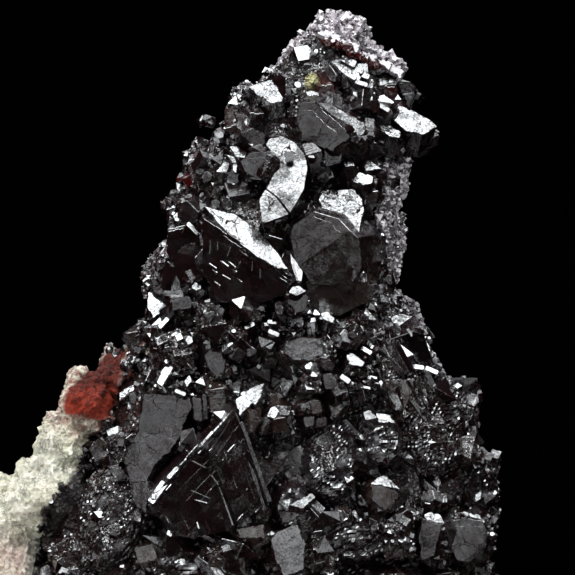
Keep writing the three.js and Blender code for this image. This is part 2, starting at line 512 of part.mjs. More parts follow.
function footCrystals() {
  const arrow = { turn: -9, tilt: 33, out: 3.6, deep: 3, flare: 4, on: [2.2, 29.5] };
  return [
    faced([[0.7, 29.4], [1.5, 29.9], [2.9, 29.2], [1.9, 28.4], [1.2, 27.6], [0.9, 28.6]], arrow),
    faced([[1.2, 30.1], [2.5, 30.7], [3.9, 31.2], [3.5, 29.7], [2.9, 28.8], [1.6, 29.5]], arrow),
    faced([[2.1, 28.3], [3.6, 28.5], [3.5, 27], [2.6, 25.7]], { turn: 18, tilt: 10, out: 4 }),
    faced([[-4, 29.7], [-3, 29.5], [-2.7, 27], [-3.8, 27.2]], { turn: -18, tilt: 4, out: 3.4 }),
    faced([[-2.3, 30.5], [-0.4, 30.7], [-0.1, 28.2], [-2, 27.9]], { turn: 8, tilt: -6, out: 3 }),
    faced([[5.2, 28.9], [6.9, 28.7], [6.5, 27.6], [5.4, 27.8]], { turn: 20, tilt: 20, out: 3.8 }),
    faced([[4.8, 27.3], [6.2, 27.5], [6.4, 25.9], [5, 25.7]], { turn: 6, tilt: -15, out: 4 }),
    faced([[9, 29.4], [10, 29.3], [10.2, 28], [9.1, 27.8]], { turn: 10, tilt: 6, out: 3.4 }),
    faced([[6.6, 18], [9, 19.3], [9.5, 18.8], [8, 17.5]], { turn: 8, tilt: 26, out: 3.4 }),
    faced([[4.6, 14.2], [5.3, 15.1], [7.5, 15.9], [8.3, 14], [8.2, 11], [6, 10.2], [5.1, 12]],
      { turn: 3, tilt: 12, out: 3.8, deep: 5 }),
    faced([[0.8, 15.4], [3.9, 15.9], [3.9, 14.4], [1.2, 14.4]], { turn: -4, tilt: 16, out: 4.4 }),
    faced([[-10.3, 13.3], [-8.2, 13.7], [-7.7, 12], [-9.8, 11.5]], { turn: -10, tilt: 12, out: 3.2 }),
    faced([[-20, 13], [-16.4, 14.6], [-15, 11], [-18.4, 9.4]], { turn: -22, tilt: -4, out: 2.2 }),
    faced([[-14.2, 15.6], [-11.6, 16.4], [-10.8, 13.8], [-13.6, 12.8]], { turn: -14, tilt: 8, out: 2.8 }),
    faced([[-2.4, 12.8], [1.4, 13.4], [2.2, 10], [-1.6, 9.2]], { turn: 4, tilt: -10, out: 3.6 }),
    faced([[9.6, 24.4], [12.8, 25], [13.2, 22], [10, 21.4]], { turn: 6, tilt: 6, out: 2.4 }),
    faced([[9.8, 14.8], [12, 12.8], [11.2, 10.2], [8.9, 10.6]], { turn: 12, tilt: -6, out: 3 }),
    faced([[16.2, 15.4], [19.4, 15.8], [20, 12.4], [17, 11.8]], { turn: 6, tilt: -12, out: 2.8 }),
    faced([[-16.6, 8.6], [-12, 9.6], [-10.8, 4.4], [-15.4, 3]], { turn: -12, tilt: -6, out: 2.2 }),
    faced([[-8.4, 9.4], [-4, 10], [-3.4, 5], [-7.8, 4.4]], { turn: -4, tilt: 6, out: 2.4 }),
    faced([[0.4, 7.8], [4.6, 8.6], [6, 4], [1.4, 2.6]], { turn: 5, tilt: -4, out: 2.2 }),
    faced([[7.4, 8.4], [12.4, 9], [13.4, 4.2], [8.6, 3.4]], { turn: 8, tilt: 8, out: 2.6 }),
    faced([[15, 9.6], [19.4, 9.4], [20.4, 5], [16.2, 3.8]], { turn: 14, tilt: -6, out: 2.2 }),
    faced([[22, 9.4], [26, 9], [26.2, 4.6], [22.8, 4]], { turn: 26, tilt: 4, out: 1.6 }),
  ];
}

// Plain crystals in rows round the crust from one side to the other, set back behind the large faces.
const COMMON_HABITS = [[1, 0], [0, 1.1], [1, 0], [1, 0], [1.1, 1.1]];
const ROW_HEIGHT = 6.6;
const ROW_SPACING = 7.2;

function commonCrystals() {
  chanceState = 5150;
  const crystals = [];
  for (let z = 3; z < 68; z += ROW_HEIGHT) {
    const [, left, right, front] = levelAt(CRUST_LEVELS, z);
    const half = (right - left) / 2;
    const depth = seamY(z) - front;
    const count = Math.round((Math.PI * Math.hypot(half, depth)) / Math.SQRT2 / ROW_SPACING);
    for (let i = 0; i <= count; i += 1) {
      const angle = (Math.PI * (i + chance(-0.2, 0.2))) / count;
      const c = Math.cos(angle);
      const x = (left + right) / 2 + half * Math.sign(c) * Math.abs(c) ** (2 / SECTION_POWER);
      const y = seamY(z) - depth * Math.abs(Math.sin(angle)) ** (2 / SECTION_POWER);
      const atSide = i === 0 || i === count;
      const size = chance(1.1, 1.9) * (atSide ? 0.8 : 1) * (z > 55 ? 0.8 : 1);
      const habit = COMMON_HABITS[Math.floor(chance(0, COMMON_HABITS.length))];
      crystals.push(grown(new THREE.Vector3(x, y, z + chance(-0.9, 0.9)), size, habit, {
        turn: 90 - THREE.MathUtils.radToDeg(angle) + chance(-35, 35),
        tilt: chance(-35, 40),
        spin: chance(0, 6.28),
        front: chance() < 0.5 ? [1, 1, 1] : [1, 0, 0],
      }));
    }
  }
  return crystals;
}

const CRYSTALS = [
  ...summitCrystals(),
  ...ledgeCrystals(),
  ...pyramidCrystals(),
  ...crescentPlate(),
  ...leftShoulderCrystals(),
  ...bladeCrystal(),
  ...giantCrystal(),
  ...waistCrystals(),
  ...rightFlankCrystals(),
  ...greySlab(),
  ...darkTable(),
  ...footCrystals(),
  ...commonCrystals(),
];

// ---------------------------------------------------------------- the rock's lumps

function rockLumps() {
  chanceState = 3307;
  return [
    // cream lobe, low on the left
    lump(-25, 0.3, 14.9, [5.1, 7.8, 6.7]),
    lump(-20.6, -2, 17.6, [3.8, 7.6, 4.4]),
    lump(-17.6, -1.8, 23.4, [3.4, 7.6, 4]),
    lump(-15.6, -1.5, 28.2, [3.8, 7.1, 3.9]),
    lump(-12, -1, 32, [2.8, 6, 2.8]),
    lump(-18, -3.6, 19.4, [3.2, 6, 4]),
    lump(-25, -4, 8, [4.8, 7, 6.4]),
    // left rim, beside the upper crystals
    lump(-8.6, 0.1, 36, [1.3, 4.2, 3.8]),
    lump(-6.8, 0.4, 42.6, [1.2, 3.8, 4.4]),
    lump(-4.6, 0.8, 49.2, [1.1, 3.6, 4]),
    lump(-2.8, 1, 55, [1.7, 3.4, 3]),
    lump(2.4, 1, 61, [2.6, 3.2, 2.8]),
    // summit cap
    lump(8.8, 0, 67.2, [1.7, 3.2, 2.4]),
    lump(11.2, -1, 70, [2.1, 2.8, 2.4]),
    lump(13.4, -0.8, 69.4, [1.9, 2.8, 2.3]),
    lump(16, 0, 65.8, [1.9, 3, 2.2]),
    // right rim, under the ledge
    lump(17.1, -1.2, 53.2, [1.6, 5, 4]),
    lump(16.4, -2, 47, [1.4, 5, 4.2]),
    lump(16.7, -1.4, 42, [1.6, 4.6, 3.4]),
    // broad swellings of the bare back
    lump(-14, 8, 9, [11, 7, 9], 11),
    lump(10, 9, 12, [13, 6.8, 12], 11),
    lump(-5, 7.4, 26, [10, 6.4, 10], 11),
    lump(11, 6.6, 34, [9, 6, 11], 11),
    lump(5, 5.4, 50, [9, 6, 9], 11),
    lump(11, 4, 62, [6, 4.6, 6], 11),
  ];
}

const GRAIN = (() => {
  chanceState = 640;
  return lump(...onCrust(9.1, 64.2, 1.3), [0.95, 1, 1.15]);
})();

// ---------------------------------------------------------------- the three pieces

const BASE_UP = [0, 0, 1];
const grainRoom = boundedBy(GRAIN, CONTACT_GAP);

function cuprite(grow) {
  return joined([crust(grow), ...CRYSTALS.map((planes) => boundedBy(planes, grow))]);
}

const crystalSolid = largestBody(
  cuprite(0).subtract(grainRoom).trimByPlane(BASE_UP, 0),
);
const rockSolid = largestBody(
  joined([rockSlab(), ...rockLumps().map((planes) => boundedBy(planes))])
    .subtract(joined([cuprite(CONTACT_GAP), grainRoom]))
    .trimByPlane(BASE_UP, 0),
);
const grainSolid = boundedBy(GRAIN);

// Draws the ends of every edge shorter than LEAST_EDGE together, where that keeps the surface closed,
// turns no face over and leaves flat faces flat.
function withoutShortEdges(corners, triangles) {
  const faces = triangles.map((triangle) => [...triangle]);
  const around = corners.map(() => new Set());
  faces.forEach((face, f) => face.forEach((corner) => around[corner].add(f)));
  const neighbours = (corner) => new Set([...around[corner]].flatMap((f) => faces[f]));
  const normalOf = (face) => {
    const [a, b, c] = face.map((corner) => corners[corner]);
    return new THREE.Vector3().subVectors(b, a).cross(new THREE.Vector3().subVectors(c, a));
  };
  const moved = (lost, kept) => [...around[lost]].filter((f) => !faces[f].includes(kept));
  const turnsOver = (lost, kept) => moved(lost, kept).some((f) => {
    const before = normalOf(faces[f]);
    const after = normalOf(faces[f].map((corner) => (corner === lost ? kept : corner)));
    return before.length() > TINY_FACE && before.dot(after) <= 0.2 * before.length() * after.length();
  });
  const drift = (lost, kept) => {
    const step = new THREE.Vector3().subVectors(corners[kept], corners[lost]);
    const wide = moved(lost, kept).map((f) => normalOf(faces[f])).filter((n) => n.length() > TINY_FACE);
    return Math.max(0, ...wide.map((n) => Math.abs(n.normalize().dot(step))));
  };
  const canClose = (lost, kept) => {
    const near = neighbours(kept);
    const shared = [...neighbours(lost)].filter((corner) => near.has(corner));
    if (shared.length !== 4 || turnsOver(lost, kept)) return false;
    const length = corners[lost].distanceTo(corners[kept]);
    return length < 0.1 * LEAST_EDGE || drift(lost, kept) < MOST_DRIFT;
  };
  const close = (lost, kept) => {
    [...around[lost]].forEach((f) => {
      if (faces[f].includes(kept)) {
        faces[f].forEach((corner) => around[corner].delete(f));
        faces[f] = [];
      } else {
        faces[f] = faces[f].map((corner) => (corner === lost ? kept : corner));
        around[kept].add(f);
      }
    });
    around[lost].clear();
  };
  let closed = true;
  while (closed) {
    closed = false;
    for (let f = 0; f < faces.length; f += 1) {
      for (let i = 0; i < 3 && faces[f].length > 0; i += 1) {
        const a = faces[f][i];
        const b = faces[f][(i + 1) % 3];
        if (corners[a].distanceTo(corners[b]) >= LEAST_EDGE) continue;
        const [lost, kept] = drift(a, b) < drift(b, a) ? [a, b] : [b, a];
        if (canClose(lost, kept)) {
          close(lost, kept);
          closed = true;
        }
      }
    }
  }
  return faces.filter((face) => face.length > 0);
}

function meshOf(name, solid, material) {
  const { vertProperties, triVerts } = solid.getMesh();
  const corners = [];
  for (let i = 0; i < vertProperties.length; i += 3) {
    corners.push(new THREE.Vector3(...vertProperties.slice(i, i + 3)));
  }
  const triangles = [];
  for (let i = 0; i < triVerts.length; i += 3) {
    triangles.push([...triVerts.slice(i, i + 3)]);
  }
  const geometry = new THREE.BufferGeometry().setFromPoints(corners);
  geometry.setIndex(withoutShortEdges(corners, triangles).flat());
  const mesh = new THREE.Mesh(geometry, material);
  mesh.name = name;
  return mesh;
}

const rockStone = new THREE.MeshStandardMaterial({ color: 0xc9c2ae, roughness: 0.85, metalness: 0 });
const cupriteGloss = new THREE.MeshStandardMaterial({ color: 0x1c1214, roughness: 0.16, metalness: 0.2 });
const malachite = new THREE.MeshStandardMaterial({ color: 0x9fa860, roughness: 0.5, metalness: 0 });

const specimen = new THREE.Group();
specimen.add(
  meshOf("matrix_rock", rockSolid, rockStone),
  meshOf("cuprite_crystals", crystalSolid, cupriteGloss),
  meshOf("malachite_grain", grainSolid, malachite),
);

// The origin is on the resting plane, under the middle of the specimen's box.
const box = new THREE.Box3().setFromObject(specimen);
specimen.position.set(-(box.min.x + box.max.x) / 2, -(box.min.y + box.max.y) / 2, -box.min.z);

export default specimen;
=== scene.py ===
# Looks for the cuprite specimen: a spire of mirror-bright, nearly black crystals over pale host rock.
#
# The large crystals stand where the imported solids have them, with bevels, growth steps and striations
# that the solids leave out. Thousands of small crystals fill the hollows between them. The rock is the
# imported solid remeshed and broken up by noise, and the malachite grain is a small silky knob.
#
# The tables are in millimetres in the specimen's own frame, before it is centred; SHIFT takes them to
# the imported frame. Blender works in metres.

import itertools
import math

import bmesh
import bpy
import numpy as np
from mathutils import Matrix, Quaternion, Vector, noise
from mathutils.bvhtree import BVHTree


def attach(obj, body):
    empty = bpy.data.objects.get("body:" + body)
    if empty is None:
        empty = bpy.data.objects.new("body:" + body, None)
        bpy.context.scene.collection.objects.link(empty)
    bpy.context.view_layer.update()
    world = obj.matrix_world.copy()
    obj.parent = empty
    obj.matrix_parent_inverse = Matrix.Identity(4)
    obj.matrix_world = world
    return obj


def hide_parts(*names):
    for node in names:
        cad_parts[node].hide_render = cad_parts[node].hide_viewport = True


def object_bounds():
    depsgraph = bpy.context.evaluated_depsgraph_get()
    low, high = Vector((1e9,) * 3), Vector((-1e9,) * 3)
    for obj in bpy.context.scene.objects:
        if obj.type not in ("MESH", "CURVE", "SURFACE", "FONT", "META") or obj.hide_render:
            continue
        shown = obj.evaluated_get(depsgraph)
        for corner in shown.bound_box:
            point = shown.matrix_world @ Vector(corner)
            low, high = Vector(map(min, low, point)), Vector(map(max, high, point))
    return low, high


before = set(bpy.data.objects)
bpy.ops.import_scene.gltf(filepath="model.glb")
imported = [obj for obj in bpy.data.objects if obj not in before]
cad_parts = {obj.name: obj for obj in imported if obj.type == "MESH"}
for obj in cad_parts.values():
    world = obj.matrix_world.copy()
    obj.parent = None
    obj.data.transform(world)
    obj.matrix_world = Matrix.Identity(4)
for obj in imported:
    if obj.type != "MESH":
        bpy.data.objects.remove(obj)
CAD_BOX = [list(corner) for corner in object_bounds()]

MM = 0.001
TABLE_LOW = (-30.699, -19.260, 0.0)  # the lowest corner of the specimen's box in the tables' frame
SHIFT = np.array(CAD_BOX[0]) / MM - np.array(TABLE_LOW)

# ---------------------------------------------------------------- the crust's form, as in the solids

SEAM_LOW, SEAM_HIGH, SEAM_TOP_Z = 3.5, 1.5, 70.0
CRUST_BACK = 3.0
SECTION_POWER = 2.5
CRUST_OVERLAP = 0.35  # closes the gap that the solids keep

CRUST_LEVELS = np.array([
    # z, left, right, front
    (0, -22, 25, -13),
    (8, -22.8, 27.8, -13.6),
    (16, -20, 28.4, -13.6),
    (23, -15.4, 27.4, -13),
    (30, -12, 24.6, -12),
    (37, -9, 20.6, -10.8),
    (44, -7, 15.8, -9.6),
    (52, -4.8, 15.8, -8.4),
    (59, -0.8, 19, -7),
    (64, 3.6, 17.6, -5.6),
    (69, 8.8, 14, -4.2),
])


def level_at(z):
    """Left edge, right edge and front of the crust at height z."""
    return [np.interp(z, CRUST_LEVELS[:, 0], CRUST_LEVELS[:, column]) for column in (1, 2, 3)]


def seam_y(z):
    return SEAM_LOW + (SEAM_HIGH - SEAM_LOW) * min(z / SEAM_TOP_Z, 1)


def crust_front(x, z):
    left, right, front = level_at(z)
    across = min(abs((2 * x - left - right) / (right - left)), 0.97)
    bulge = (1 - across ** SECTION_POWER) ** (1 / SECTION_POWER)
    return seam_y(z) + (front - seam_y(z)) * bulge


def on_crust(x, z, out):
    """The point that stands `out` in front of the crust."""
    return np.array((x, crust_front(x, z) - out, z))


# ---------------------------------------------------------------- seeded chance


class Chance:
    """The same seeded draws as the solids use, so that their crystals land in the same places."""

    def __init__(self, seed):
        self.state = float(seed)

    def __call__(self, low=0.0, high=1.0):
        self.state = math.fmod(self.state * 1103515245.0 + 12345.0, 2147483648.0)
        return low + (high - low) * (self.state / 2147483648.0)


rng = np.random.default_rng(1812)
noise.seed_set(1795341678)  # without a seed, Blender's noise vectors follow the clock

# ---------------------------------------------------------------- shapes


def twice_area(points):
    """Twice the area that a flat outline goes round, as a vector along its normal."""
    return sum(np.cross(points[i - 1] - points[0], points[i] - points[0]) for i in range(2, len(points)))


class Shape:
    """A closed body: its corners, and its faces as lists of corner numbers, turned outwards."""

    def __init__(self, corners, faces):
        self.corners = np.asarray(corners, float)
        self.faces = [list(face) for face in faces]

    def normals(self):
        found = [twice_area(self.corners[face]) for face in self.faces]
        return np.array([normal / max(np.linalg.norm(normal), 1e-12) for normal in found])


def body_within(normals, reaches):
    """The convex body of the points p with normal . p <= reach for every plane."""
    normals, reaches = np.asarray(normals), np.asarray(reaches)
    triples = np.array(list(itertools.combinations(range(len(normals)), 3)))
    meeting = abs(np.linalg.det(normals[triples])) > 1e-4
    sets, wanted = normals[triples[meeting]], reaches[triples[meeting]]
    points = np.linalg.solve(sets, wanted[:, :, None])[:, :, 0]
    corners = []
    for point in points[(points @ normals.T <= reaches + 1e-5).all(1)]:
        if all(np.linalg.norm(point - known) > 1e-3 for known in corners):
            corners.append(point)
    corners = np.array(corners)
    faces = []
    for normal, reach in zip(normals, reaches):
        around = np.flatnonzero(abs(corners @ normal - reach) < 2e-3)
        if len(around) < 3:
            continue
        spokes = corners[around] - corners[around].mean(0)
        side = spokes[0] / np.linalg.norm(spokes[0])
        up = np.cross(normal, side)
        faces.append(around[np.argsort(np.arctan2(spokes @ up, spokes @ side))])
    return Shape(corners, faces)


def bevelled(shape, width):
    """The shape with every edge cut by a bevel, no wider than its shortest edge allows."""
    mesh = bmesh.new()
    verts = [mesh.verts.new(corner) for corner in shape.corners]
    for face in shape.faces:
        mesh.faces.new([verts[i] for i in face])
    shortest = min(edge.calc_length() for edge in mesh.edges)
    bmesh.ops.bevel(
        mesh, geom=list(mesh.edges) + list(mesh.verts), offset=min(width, 0.3 * shortest),
        offset_type="OFFSET", segments=1, profile=0.5, affect="EDGES", clamp_overlap=True,
    )
    mesh.verts.index_update()
    result = Shape([v.co[:] for v in mesh.verts], [[v.index for v in f.verts] for f in mesh.faces])
    mesh.free()
    return result


def facing(turn, tilt):
    """The direction that looks out at the viewer, turned to the right and tilted up, in degrees."""
    t, e = math.radians(turn), math.radians(tilt)
    return np.array((math.sin(t) * math.cos(e), -math.cos(t) * math.cos(e), math.sin(e)))


def faced(
    outline, turn=0, tilt=0, out=2.5, deep=4, flare=20, on=None, second=None, look="clear", steps=1.0,
):
    """A crystal known by its front face: a convex outline in x, z on a plane that faces turn, tilt and
    stands `out` in front of the crust at the point `on`. Its sides widen backwards by `flare` degrees.
    A second front face, given as (turn, tilt, at), meets the first along a ridge through `at`. The
    outline is broken by growth steps, more or less as `steps` says."""
    normal = facing(turn, tilt)
    outline = np.array(outline, float)
    x0, z0 = outline.mean(0) if on is None else on
    anchor = on_crust(x0, z0, out)

    def on_front(x, z):
        lift = (normal[0] * (x - x0) + normal[2] * (z - z0)) / -normal[1]
        return np.stack([x, anchor[1] + lift, z], -1)

    others = [] if second is None else [(facing(*second[:2]), on_front(*second[2]))]
    corners = on_front(outline[:, 0], outline[:, 1])
    return {
        "corners": corners, "normal": normal, "deep": deep, "flare": flare, "look": look, "others": others,
        "steps": steps,
    }


def shape_of(facet):
    """The body behind a facet."""
    normal, corners = facet["normal"], facet["corners"]
    centre = corners.mean(0)
    lean = math.radians(facet["flare"])
    normals = [normal, -normal]
    reaches = [normal @ centre, facet["deep"] - normal @ centre]
    for face, point in facet["others"]:
        normals.append(face)
        reaches.append(face @ point)
    for i, corner in enumerate(corners):
        outward = np.cross(corners[(i + 1) % len(corners)] - corner, normal)
        outward /= np.linalg.norm(outward)
        if outward @ centre > outward @ corner:
            outward = -outward
        wall = outward * math.cos(lean) + normal * math.sin(lean)
        normals.append(wall)
        reaches.append(wall @ corner)
    return body_within(normals, reaches)


def front_area(facet):
    return np.linalg.norm(twice_area(facet["corners"])) / 2


def ragged(facet):
    """The body behind a facet, with small growth steps in its outline, blunted corners and a slim bevel."""
    normal, deep = facet["normal"], facet["deep"]
    corners = facet["corners"]
    if twice_area(corners) @ normal < 0:
        corners = corners[::-1]
    following = np.roll(corners, -1, 0)
    width = 2 * front_area(facet) / np.linalg.norm(following - corners, axis=1).sum()
    waver, bevel = min(0.15, 0.16 * width) * facet["steps"], min(0.035, 0.2 * width)
    points, outwards = [], []
    for a, b in zip(corners, following):
        length = np.linalg.norm(b - a)
        along = (b - a) / length
        blunt = min(0.14, 0.22 * length)
        stops = [(blunt, 0.0)]
        place = blunt + rng.uniform(0.1, 0.6)
        while place < length - blunt - 0.1:
            stops += [(place, stops[-1][1]), (place + 0.04, rng.uniform(-1, 0.2) * waver)]
            place += rng.uniform(0.2, 0.4 + 0.3 * width)
        for place, drop in stops + [(length - blunt, 0.0)]:
            points.append(a + along * place + np.cross(along, normal) * drop)
            outwards.append(np.cross(along, normal))
    points, outwards = np.array(points), np.array(outwards)
    splay = math.tan(math.radians(facet["flare"])) * deep
    rings = [points - outwards * bevel, points - normal * bevel, points + outwards * splay - normal * deep]
    count = len(points)
    faces = [list(range(count)), list(range(2 * count, 3 * count))[::-1]]
    for i in range(count):
        j = (i + 1) % count
        faces += [(i + lap, i + lap + count, j + lap + count, j + lap) for lap in (0, count)]
    return Shape(np.concatenate(rings), faces)


def bar(start, end, width, deep=2, flare=12, **options):
    """A slim step along the line from one x, z to another."""
    start, end = np.array(start, float), np.array(end, float)
    along = (end - start) / np.linalg.norm(end - start)
    side = np.array((-along[1], along[0])) * width / 2
    outline = [start - side, end - side, end + side, start + side]
    return faced(outline, deep=deep, flare=flare, **{"steps": 0.3, **options})


def out_on(plane, start, end, lift):
    """How far out from the crust the middle of a line lies that is lifted a little off a facet's plane."""
    x, z = (np.array(start) + end) / 2
    normal, (x0, z0) = facing(plane["turn"], plane["tilt"]), plane["on"]
    y = on_crust(x0, z0, plane["out"])[1] + (normal[0] * (x - x0) + normal[2] * (z - z0)) / -normal[1]
    return crust_front(x, z) - y + lift


OCTAHEDRON = np.array(list(itertools.product((-1, 1), repeat=3))) / math.sqrt(3)
CUBE = np.concatenate([np.eye(3), -np.eye(3)])


def habit_shape(octahedron, cube):
    """A free crystal of unit size: how far out the faces of each family lie, or 0 where it has none."""
    used = [(faces, reach) for faces, reach in ((OCTAHEDRON, octahedron), (CUBE, cube)) if reach]
    return body_within(
        np.concatenate([faces for faces, _ in used]),
        np.concatenate([np.full(len(faces), float(reach)) for faces, reach in used]),
    )


def turned(front, turn, tilt, spin):
    """The rotation that brings a crystal's `front` direction to face turn, tilt, then spins it."""
    out = Vector(facing(turn, tilt))
    return np.array((Quaternion(out, spin) @ Vector(front).rotation_difference(out)).to_matrix())


def moved(shape, rotation, size, centre):
    """The shape turned, scaled and put in place."""
    return Shape(shape.corners @ rotation.T * size + centre, shape.faces)


def crust_shape():
    """The body of the crust: an uneven ring of points at each level, joined from ring to ring."""
    chance = Chance(411)
    points_round = 14
    rings = []
    for z, left, right, front in CRUST_LEVELS:
        middle = seam_y(z)
        back = middle + CRUST_BACK + CRUST_OVERLAP
        left, right = left - CRUST_OVERLAP, right + CRUST_OVERLAP
        if z == CRUST_LEVELS[-1, 0]:
            z += CRUST_OVERLAP
        for i in range(points_round):
            angle = 2 * math.pi * i / points_round
            reach = chance(0.95, 1)
            c, s = math.cos(angle), math.sin(angle)
            x = math.copysign(abs(c) ** (2 / SECTION_POWER), c) * reach
            y = math.copysign(abs(s) ** (2 / SECTION_POWER), s) * reach
            depth = middle - front if s < 0 else back - middle
            rings.append(((left + right) / 2 + x * (right - left) / 2, middle + y * depth, z))
    faces = []
    for level in range(len(CRUST_LEVELS) - 1):
        for i in range(points_round):
            a = level * points_round + i
            b = level * points_round + (i + 1) % points_round
            faces += [(a, b, b + points_round), (a, b + points_round, a + points_round)]
    top = (len(CRUST_LEVELS) - 1) * points_round
    faces.append(list(range(points_round))[::-1])
    faces.append(list(range(top, top + points_round)))
    return Shape(rings, faces)


# ---------------------------------------------------------------- meshes gathered from shapes


# Etching, warmth and striation of each look.
LOOKS = {
    "clear": (0.06, 0.1, 0.25),
    "etched": (0.9, 0.1, 0.1),
    "pale": (0.78, 0.1, 0.1),
    "lined": (0.12, 0.12, 0.6),
    "grey": (0.4, 0.15, 0.35),
    "brown": (0.3, 0.75, 0.4),
    "red": (0.1, 1.0, 0.1),
    "maroon": (0.2, 0.94, 0.1),
    "crumpled": (0.25, 0.15, 0.3),
    "flaky": (0.42, 0.05, 0.3),
    "dull": (0.65, 0.3, 0.2),
    "streaked": (0.6, 0.1, 1.0),
    "matte": (1.0, 0.55, 0.1),
    "crusted": (0.3, 0.5, 2.0),
}

GRAIN = (0.92, 0.2, -0.35)  # the way that striations run where no edge gives one


def flat_map(points, normal, edge):
    """Where the points of a face lie on its plane: along the edge direction, and across it."""
    along = np.array(edge, float) - normal * (normal @ np.array(edge, float))
    if np.linalg.norm(along) < 0.15 * np.linalg.norm(edge):
        along = np.cross(normal, (0.3, 0.5, 0.8))
    along /= np.linalg.norm(along)
    return np.stack([points @ along, points @ np.cross(normal, along)], 1)


class Gathered:
    """Shapes put together as one mesh. Each face has a flat map in millimetres, `grain`, which carries
    its striations, and a colour attribute, `surface`: chance, etching, warmth and striation."""

    def __init__(self):
        self.points, self.loops, self.totals, self.maps, self.surfaces = ([] for _ in range(5))
        self.count = 0

    def add(self, shape, look, edge=GRAIN):
        """Adds one shape in place. Its striations run along the edge direction, laid on each face."""
        for face, normal in zip(shape.faces, shape.normals()):
            self.maps.append(flat_map(shape.corners[face], normal, edge))
            self.loops.append(np.array(face) + self.count)
            self.totals.append(len(face))
        self.points.append(shape.corners)
        rows = np.tile((0.0,) + LOOKS[look], (len(shape.faces), 1))
        rows[:, 0] = rng.random(len(rows))
        self.surfaces.append(rows)
        self.count += len(shape.corners)

    def add_copies(self, shape, rotations, sizes, stretches, centres, surfaces):
        """Adds a copy of the shape for each rotation, size, stretch along its own axes and centre, with a
        row of surface values."""
        copies = len(sizes)
        corners = np.einsum("nij,nkj->nki", rotations, shape.corners[None] * stretches[:, None, :])
        corners *= sizes[:, None, None]
        corners += centres[:, None, :]
        loops = np.concatenate([np.array(face) for face in shape.faces])
        totals = np.array([len(face) for face in shape.faces])
        flat = np.concatenate([
            flat_map(shape.corners[face], normal, GRAIN)
            for face, normal in zip(shape.faces, shape.normals())
        ])[None] * sizes[:, None, None]
        flat = flat + rng.uniform(0, 40, (copies, 1, 2))
        starts = self.count + np.arange(copies)[:, None] * len(shape.corners)
        self.points.append(corners.reshape(-1, 3))
        self.loops.append((loops[None] + starts).ravel())
        self.totals.extend(np.tile(totals, copies))
        self.maps.append(flat.reshape(-1, 2))
        values = np.repeat(surfaces, len(totals), 0)
        values[:, 0] = rng.random(len(values))
        self.surfaces.append(values)
        self.count += copies * len(shape.corners)

    def object(self, name, material):
        """The gathered mesh as a piece of the scene, kept within the solids' box."""
        points = (np.concatenate(self.points) + SHIFT) * MM
        low, high = np.array(CAD_BOX)
        points = np.clip(points, low + 1e-6, high - 1e-6)
        loops = np.concatenate(self.loops)
        totals = np.array(self.totals)
        mesh = bpy.data.meshes.new(name)
        mesh.vertices.add(len(points))
        mesh.vertices.foreach_set("co", points.ravel())
        mesh.loops.add(len(loops))
        mesh.loops.foreach_set("vertex_index", loops.astype(np.int32))
        mesh.polygons.add(len(totals))
        mesh.polygons.foreach_set("loop_start", (np.cumsum(totals) - totals).astype(np.int32))
        mesh.update(calc_edges=True)
        mesh.validate()
        mesh.shade_flat()
        mesh.uv_layers.new(name="grain").uv.foreach_set("vector", np.concatenate(self.maps).ravel())
        values = np.concatenate(self.surfaces)
        layer = mesh.attributes.new("surface", "FLOAT_COLOR", "CORNER")
        layer.data.foreach_set("color", np.repeat(values, totals, 0).ravel())
        mesh.materials.append(material)
        piece = bpy.data.objects.new(name, mesh)
        bpy.context.scene.collection.objects.link(piece)
        return piece


# ---------------------------------------------------------------- the crystals

# Planes that several pieces lie in, and how far bars stand out from the plane that they lie on.
PLANES = {
    "arrow": dict(turn=-9, tilt=33, out=3.6, deep=3, flare=4, on=(2.2, 29.5), look="pale"),
    "bevel": dict(turn=-26, tilt=28, deep=4, flare=6),
    "blade": dict(turn=-5, tilt=-9, out=4.2, on=(1.5, 43.4)),
    "crescent": dict(turn=-4, tilt=25, out=4.4, deep=1.8, flare=-6, on=(6, 53.5), look="pale", steps=0.3),
    "step": dict(turn=7, tilt=-7, out=5.1, on=(1, 20)),
    "table": dict(turn=5, tilt=-8, out=4.6, on=(-1, 20)),
}
BAR_LIFT = {"blade": 0.12, "step": 0.12, "table": 0.15}


def numbers(text):
    return tuple(float(word) for word in text.split())


def options_in(text):
    """The options in words such as `etched, deep 2.4, on 1 20`. A word without a value is the look."""
    options = {}
    for option in filter(None, text.strip().split(", ")):
        name, _, values = option.partition(" ")
        values = numbers(values)
        if not values:
            options["look"] = name
        elif name == "second":
            options[name] = (*values[:2], values[2:])
        else:
            options[name] = values if len(values) > 1 else values[0]
    return options


def read_faces(table):
    """Facets from rows of `head | corners | options`. The head gives turn, tilt and out, or else names the
    plane. A bar's corners are its start, its end and its width, and its head ends with `out` or the name
    of the plane that it lies on. A row whose line ends with a comma goes on in the next line."""
    facets = []
    for row in table.replace(",\n", ", ").strip().splitlines():
        if row.startswith("#"):
            continue
        head, corners, options = (row + " | ").split(" | ")[:3]
        corners, options = [numbers(corner) for corner in corners.split(",")], options_in(options)
        if head.startswith("bar"):
            _, turn, tilt, out = head.split()
            start, end, (width,) = corners
            out = out_on(PLANES[out], start, end, BAR_LIFT[out]) if out in PLANES else float(out)
            facets.append(bar(start, end, width, turn=float(turn), tilt=float(tilt), out=out, **options))
        elif head in PLANES:
            facets.append(faced(corners, **{**PLANES[head], **options}))
        else:
            facets.append(faced(corners, *numbers(head), **options))
    return facets


